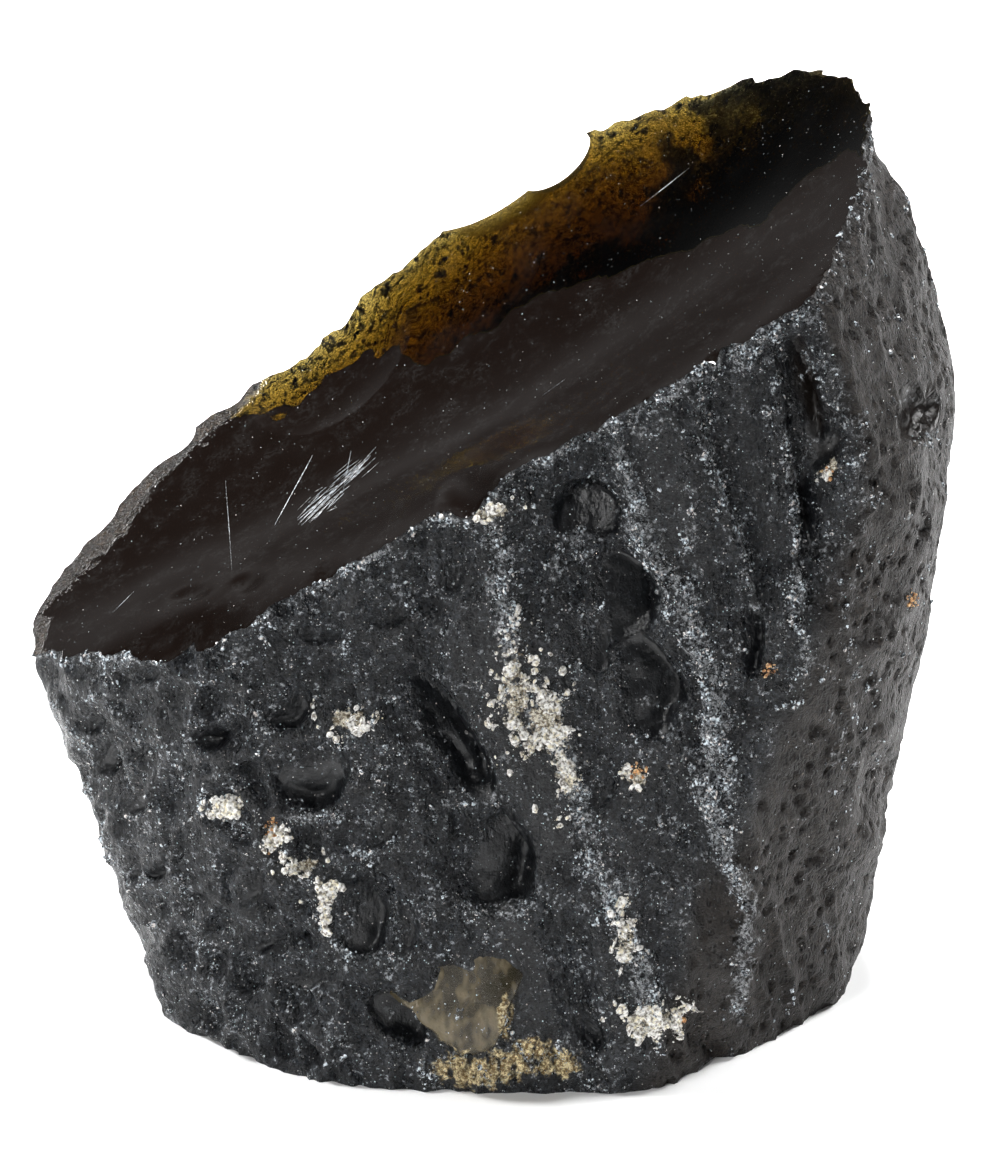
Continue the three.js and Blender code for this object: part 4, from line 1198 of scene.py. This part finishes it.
# How likely grains are at each point of the stone.
above_ground = smoothstep(found["points"][:, 2], 0.1, 0.4)
skin_side = (~found["fresh_points"]) * above_ground * (1 - 0.8 * found["calm"])
patches = smoothstep(value_noise(found["points"] / 1.6, 101), -0.4, 0.8)
clusters = smoothstep(value_noise(found["points"] / 0.5, 103), 0.0, 0.6)
facing_front = smoothstep(found["normals"] @ SHEET_OUT, 0.1, 0.5)
right_half = smoothstep(found["u"], 0, 6) * (1 - found["side"])
dusty = 0.04 + patches * clusters * (0.15 + 0.85 * right_half)
# The soil mark also holds the painted glints, so bright grains gather there too.
soil_chance = skin_side * found["soil"] ** 2.4 * (0.015 + clusters ** 2) * (1 - 0.6 * found["side"])
chances = {
    "skin_dust": skin_side * dusty * facing_front * (1 - 0.9 * found["side"]),
    "upper_soil_grains": soil_chance * (found["v"] > -5),
    "lower_soil_grains": soil_chance * (found["v"] <= -5),
    "cream_soil": skin_side * found["cream"] * (0.02 + clusters ** 2),
    "ochre_soil": skin_side * patches_of(OCHRE_SPOTS, found["u"], found["v"]) * (facing_front > 0),
    "fracture_dust": found["fresh_points"] * (0.15 + patches * clusters),
}
tree = grain_tree()
grain_materials = {kind: grain_material(kind, *GRAIN_KINDS[kind]) for kind in GRAIN_KINDS}
for name, (kind, count, places_seed, turns_seed, least, more, rarity, height) in GRAIN_LOTS.items():
    places, dice = scatter(count, chances[name], places_seed)
    sizes = least + more * dice.random(count) ** rarity
    grains(name, places, sizes, height, turns_seed, grain_materials[kind], tree)


# ---- Scratches ----

def on_fracture(u, v):
    """The point of the fracture that shows at (u, v) on the sheet."""
    ray = sight(u, v)
    spot = point_on_plane(u, v, RIM_NORMAL, RIM_LEVEL)
    for _ in range(6):
        above = spot[2] - marked_fracture_height(spot[:1], spot[1:2])[0]
        spot = spot - ray * (above / (ray @ RIM_NORMAL) * RIM_NORMAL[2])
    return spot


def scratch_strokes():
    """The separate scratches, and the strokes of the scuff side by side."""
    strokes = list(SCRATCHES)
    dice = np.random.default_rng(SCUFF["seed"])
    start, end = np.array(SCUFF["start"]), np.array(SCUFF["end"])
    along = unit(end - start)
    across = np.array([-along[1], along[0]])
    for _ in range(SCUFF["strokes"]):
        share, off = dice.random(), dice.normal() * 0.4
        middle = start + (end - start) * (0.12 + 0.76 * share) + across * off * SCUFF["spread"]
        half = along * SCUFF["length"] * (0.25 + 0.5 * dice.random()) * (1 - 0.4 * abs(off))
        lean = across * 0.04 * dice.normal()
        width = SCUFF["width"] * (0.4 + 0.8 * dice.random())
        strokes.append((*(middle - half - lean), *(middle + half + lean), width))
    return strokes


def scratches():
    """Fine burrs of crushed glass, each a low sliver that tapers to both ends."""
    points, faces = [], []
    for start_u, start_v, end_u, end_v, width in scratch_strokes():
        line = [on_fracture(start_u + (end_u - start_u) * k / 8, start_v + (end_v - start_v) * k / 8)
                for k in range(9)]
        beside_it = unit(np.cross(line[-1] - line[0], RIM_NORMAL)) * width / 2
        base = len(points)
        for k, spot in enumerate(line):
            taper = math.sin(math.pi * (k + 0.3) / 8.6) * (0.7 + 0.3 * math.sin(5.1 * k + start_u))
            for sideways, rise in ((-1, -0.02), (1, -0.02), (0, 0.012)):
                points.append(spot + beside_it * sideways * taper + RIM_NORMAL * rise)
        for k in range(8):
            at, to = base + 3 * k, base + 3 * k + 3
            faces += [(at + a, at + b, to + b, to + a) for a, b in ((0, 1), (1, 2), (2, 0))]
        faces += [(base, base + 2, base + 1), (base + 24, base + 25, base + 26)]
    burrs = bpy.data.meshes.new("fracture_scratches")
    burrs.from_pydata((np.array(points) * MM).tolist(), [], faces)
    face_outwards(burrs)
    burrs.materials.append(grain_materials["crushed glass"])
    thing = set_out("fracture_scratches", burrs)
    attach(thing, "root")


scratches()

# ---- Camera, light and floor ----

camera_data = bpy.data.cameras.new("camera")
camera_data.sensor_width = 36
camera_data.lens = 36 * SHEET_DISTANCE / SHEET_HEIGHT
camera_data.clip_start = 0.01
camera = set_out("camera", camera_data)
camera.location = EYE * MM
camera.rotation_euler = (math.radians(90 - SHEET_TILT), 0, 0)
bpy.context.scene.camera = camera

floor_mesh = bpy.data.meshes.new("floor")
floor_mesh.from_pydata([(-3, -3, 0), (3, -3, 0), (3, 3, 0), (-3, 3, 0)], [], [(0, 1, 2, 3)])
floor = set_out("floor", floor_mesh)
floor_material = bpy.data.materials.new("pale floor")
floor_material.use_nodes = True
painted = floor_material.node_tree.nodes["Principled BSDF"].inputs["Base Color"]
painted.default_value = (FLOOR_WHITE, FLOOR_WHITE, FLOOR_WHITE, 1)
floor_mesh.materials.append(floor_material)

# The studio is pale near the floor and darkens upwards, to both sides and low down behind.
world = bpy.data.worlds.new("studio")
world.use_nodes = True
bench = Bench(world.node_tree)
outwards = bench.add("ShaderNodeTexCoord").outputs["Generated"]
outwards = bench.add("ShaderNodeSeparateXYZ", {"Vector": outwards}).outputs
pale = bench.ramp(outwards["Z"], 0.0, 0.5, 0.32, 0.03)
sideways = bench.ramp(bench.sum("ABSOLUTE", outwards["X"], 0.0), 0.35, 0.8, 1.0, 0.32)
behind = bench.times(bench.ramp(outwards["Y"], 0.5, 0.85), bench.ramp(outwards["Z"], 0.08, 0.28, 0.82, 0.0))
pale = bench.times(pale, sideways, bench.less(1, behind))
bench.fill(world.node_tree.nodes["Background"].inputs["Color"], pale)
bpy.context.scene.world = world
bpy.context.scene.view_settings.view_transform = "Standard"


def softbox(name, place, aim, size, power, spread):
    data = bpy.data.lights.new(name, "AREA")
    data.shape = "DISK"
    data.size = size
    data.energy = power
    data.spread = math.radians(spread)
    lamp = set_out(name, data)
    lamp.location = place
    lamp.rotation_euler = (Vector(aim) - Vector(place)).to_track_quat("-Z", "Y").to_euler()


for lamp in LAMPS:
    softbox(*lamp)

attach(stone, "root")
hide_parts("tektite")
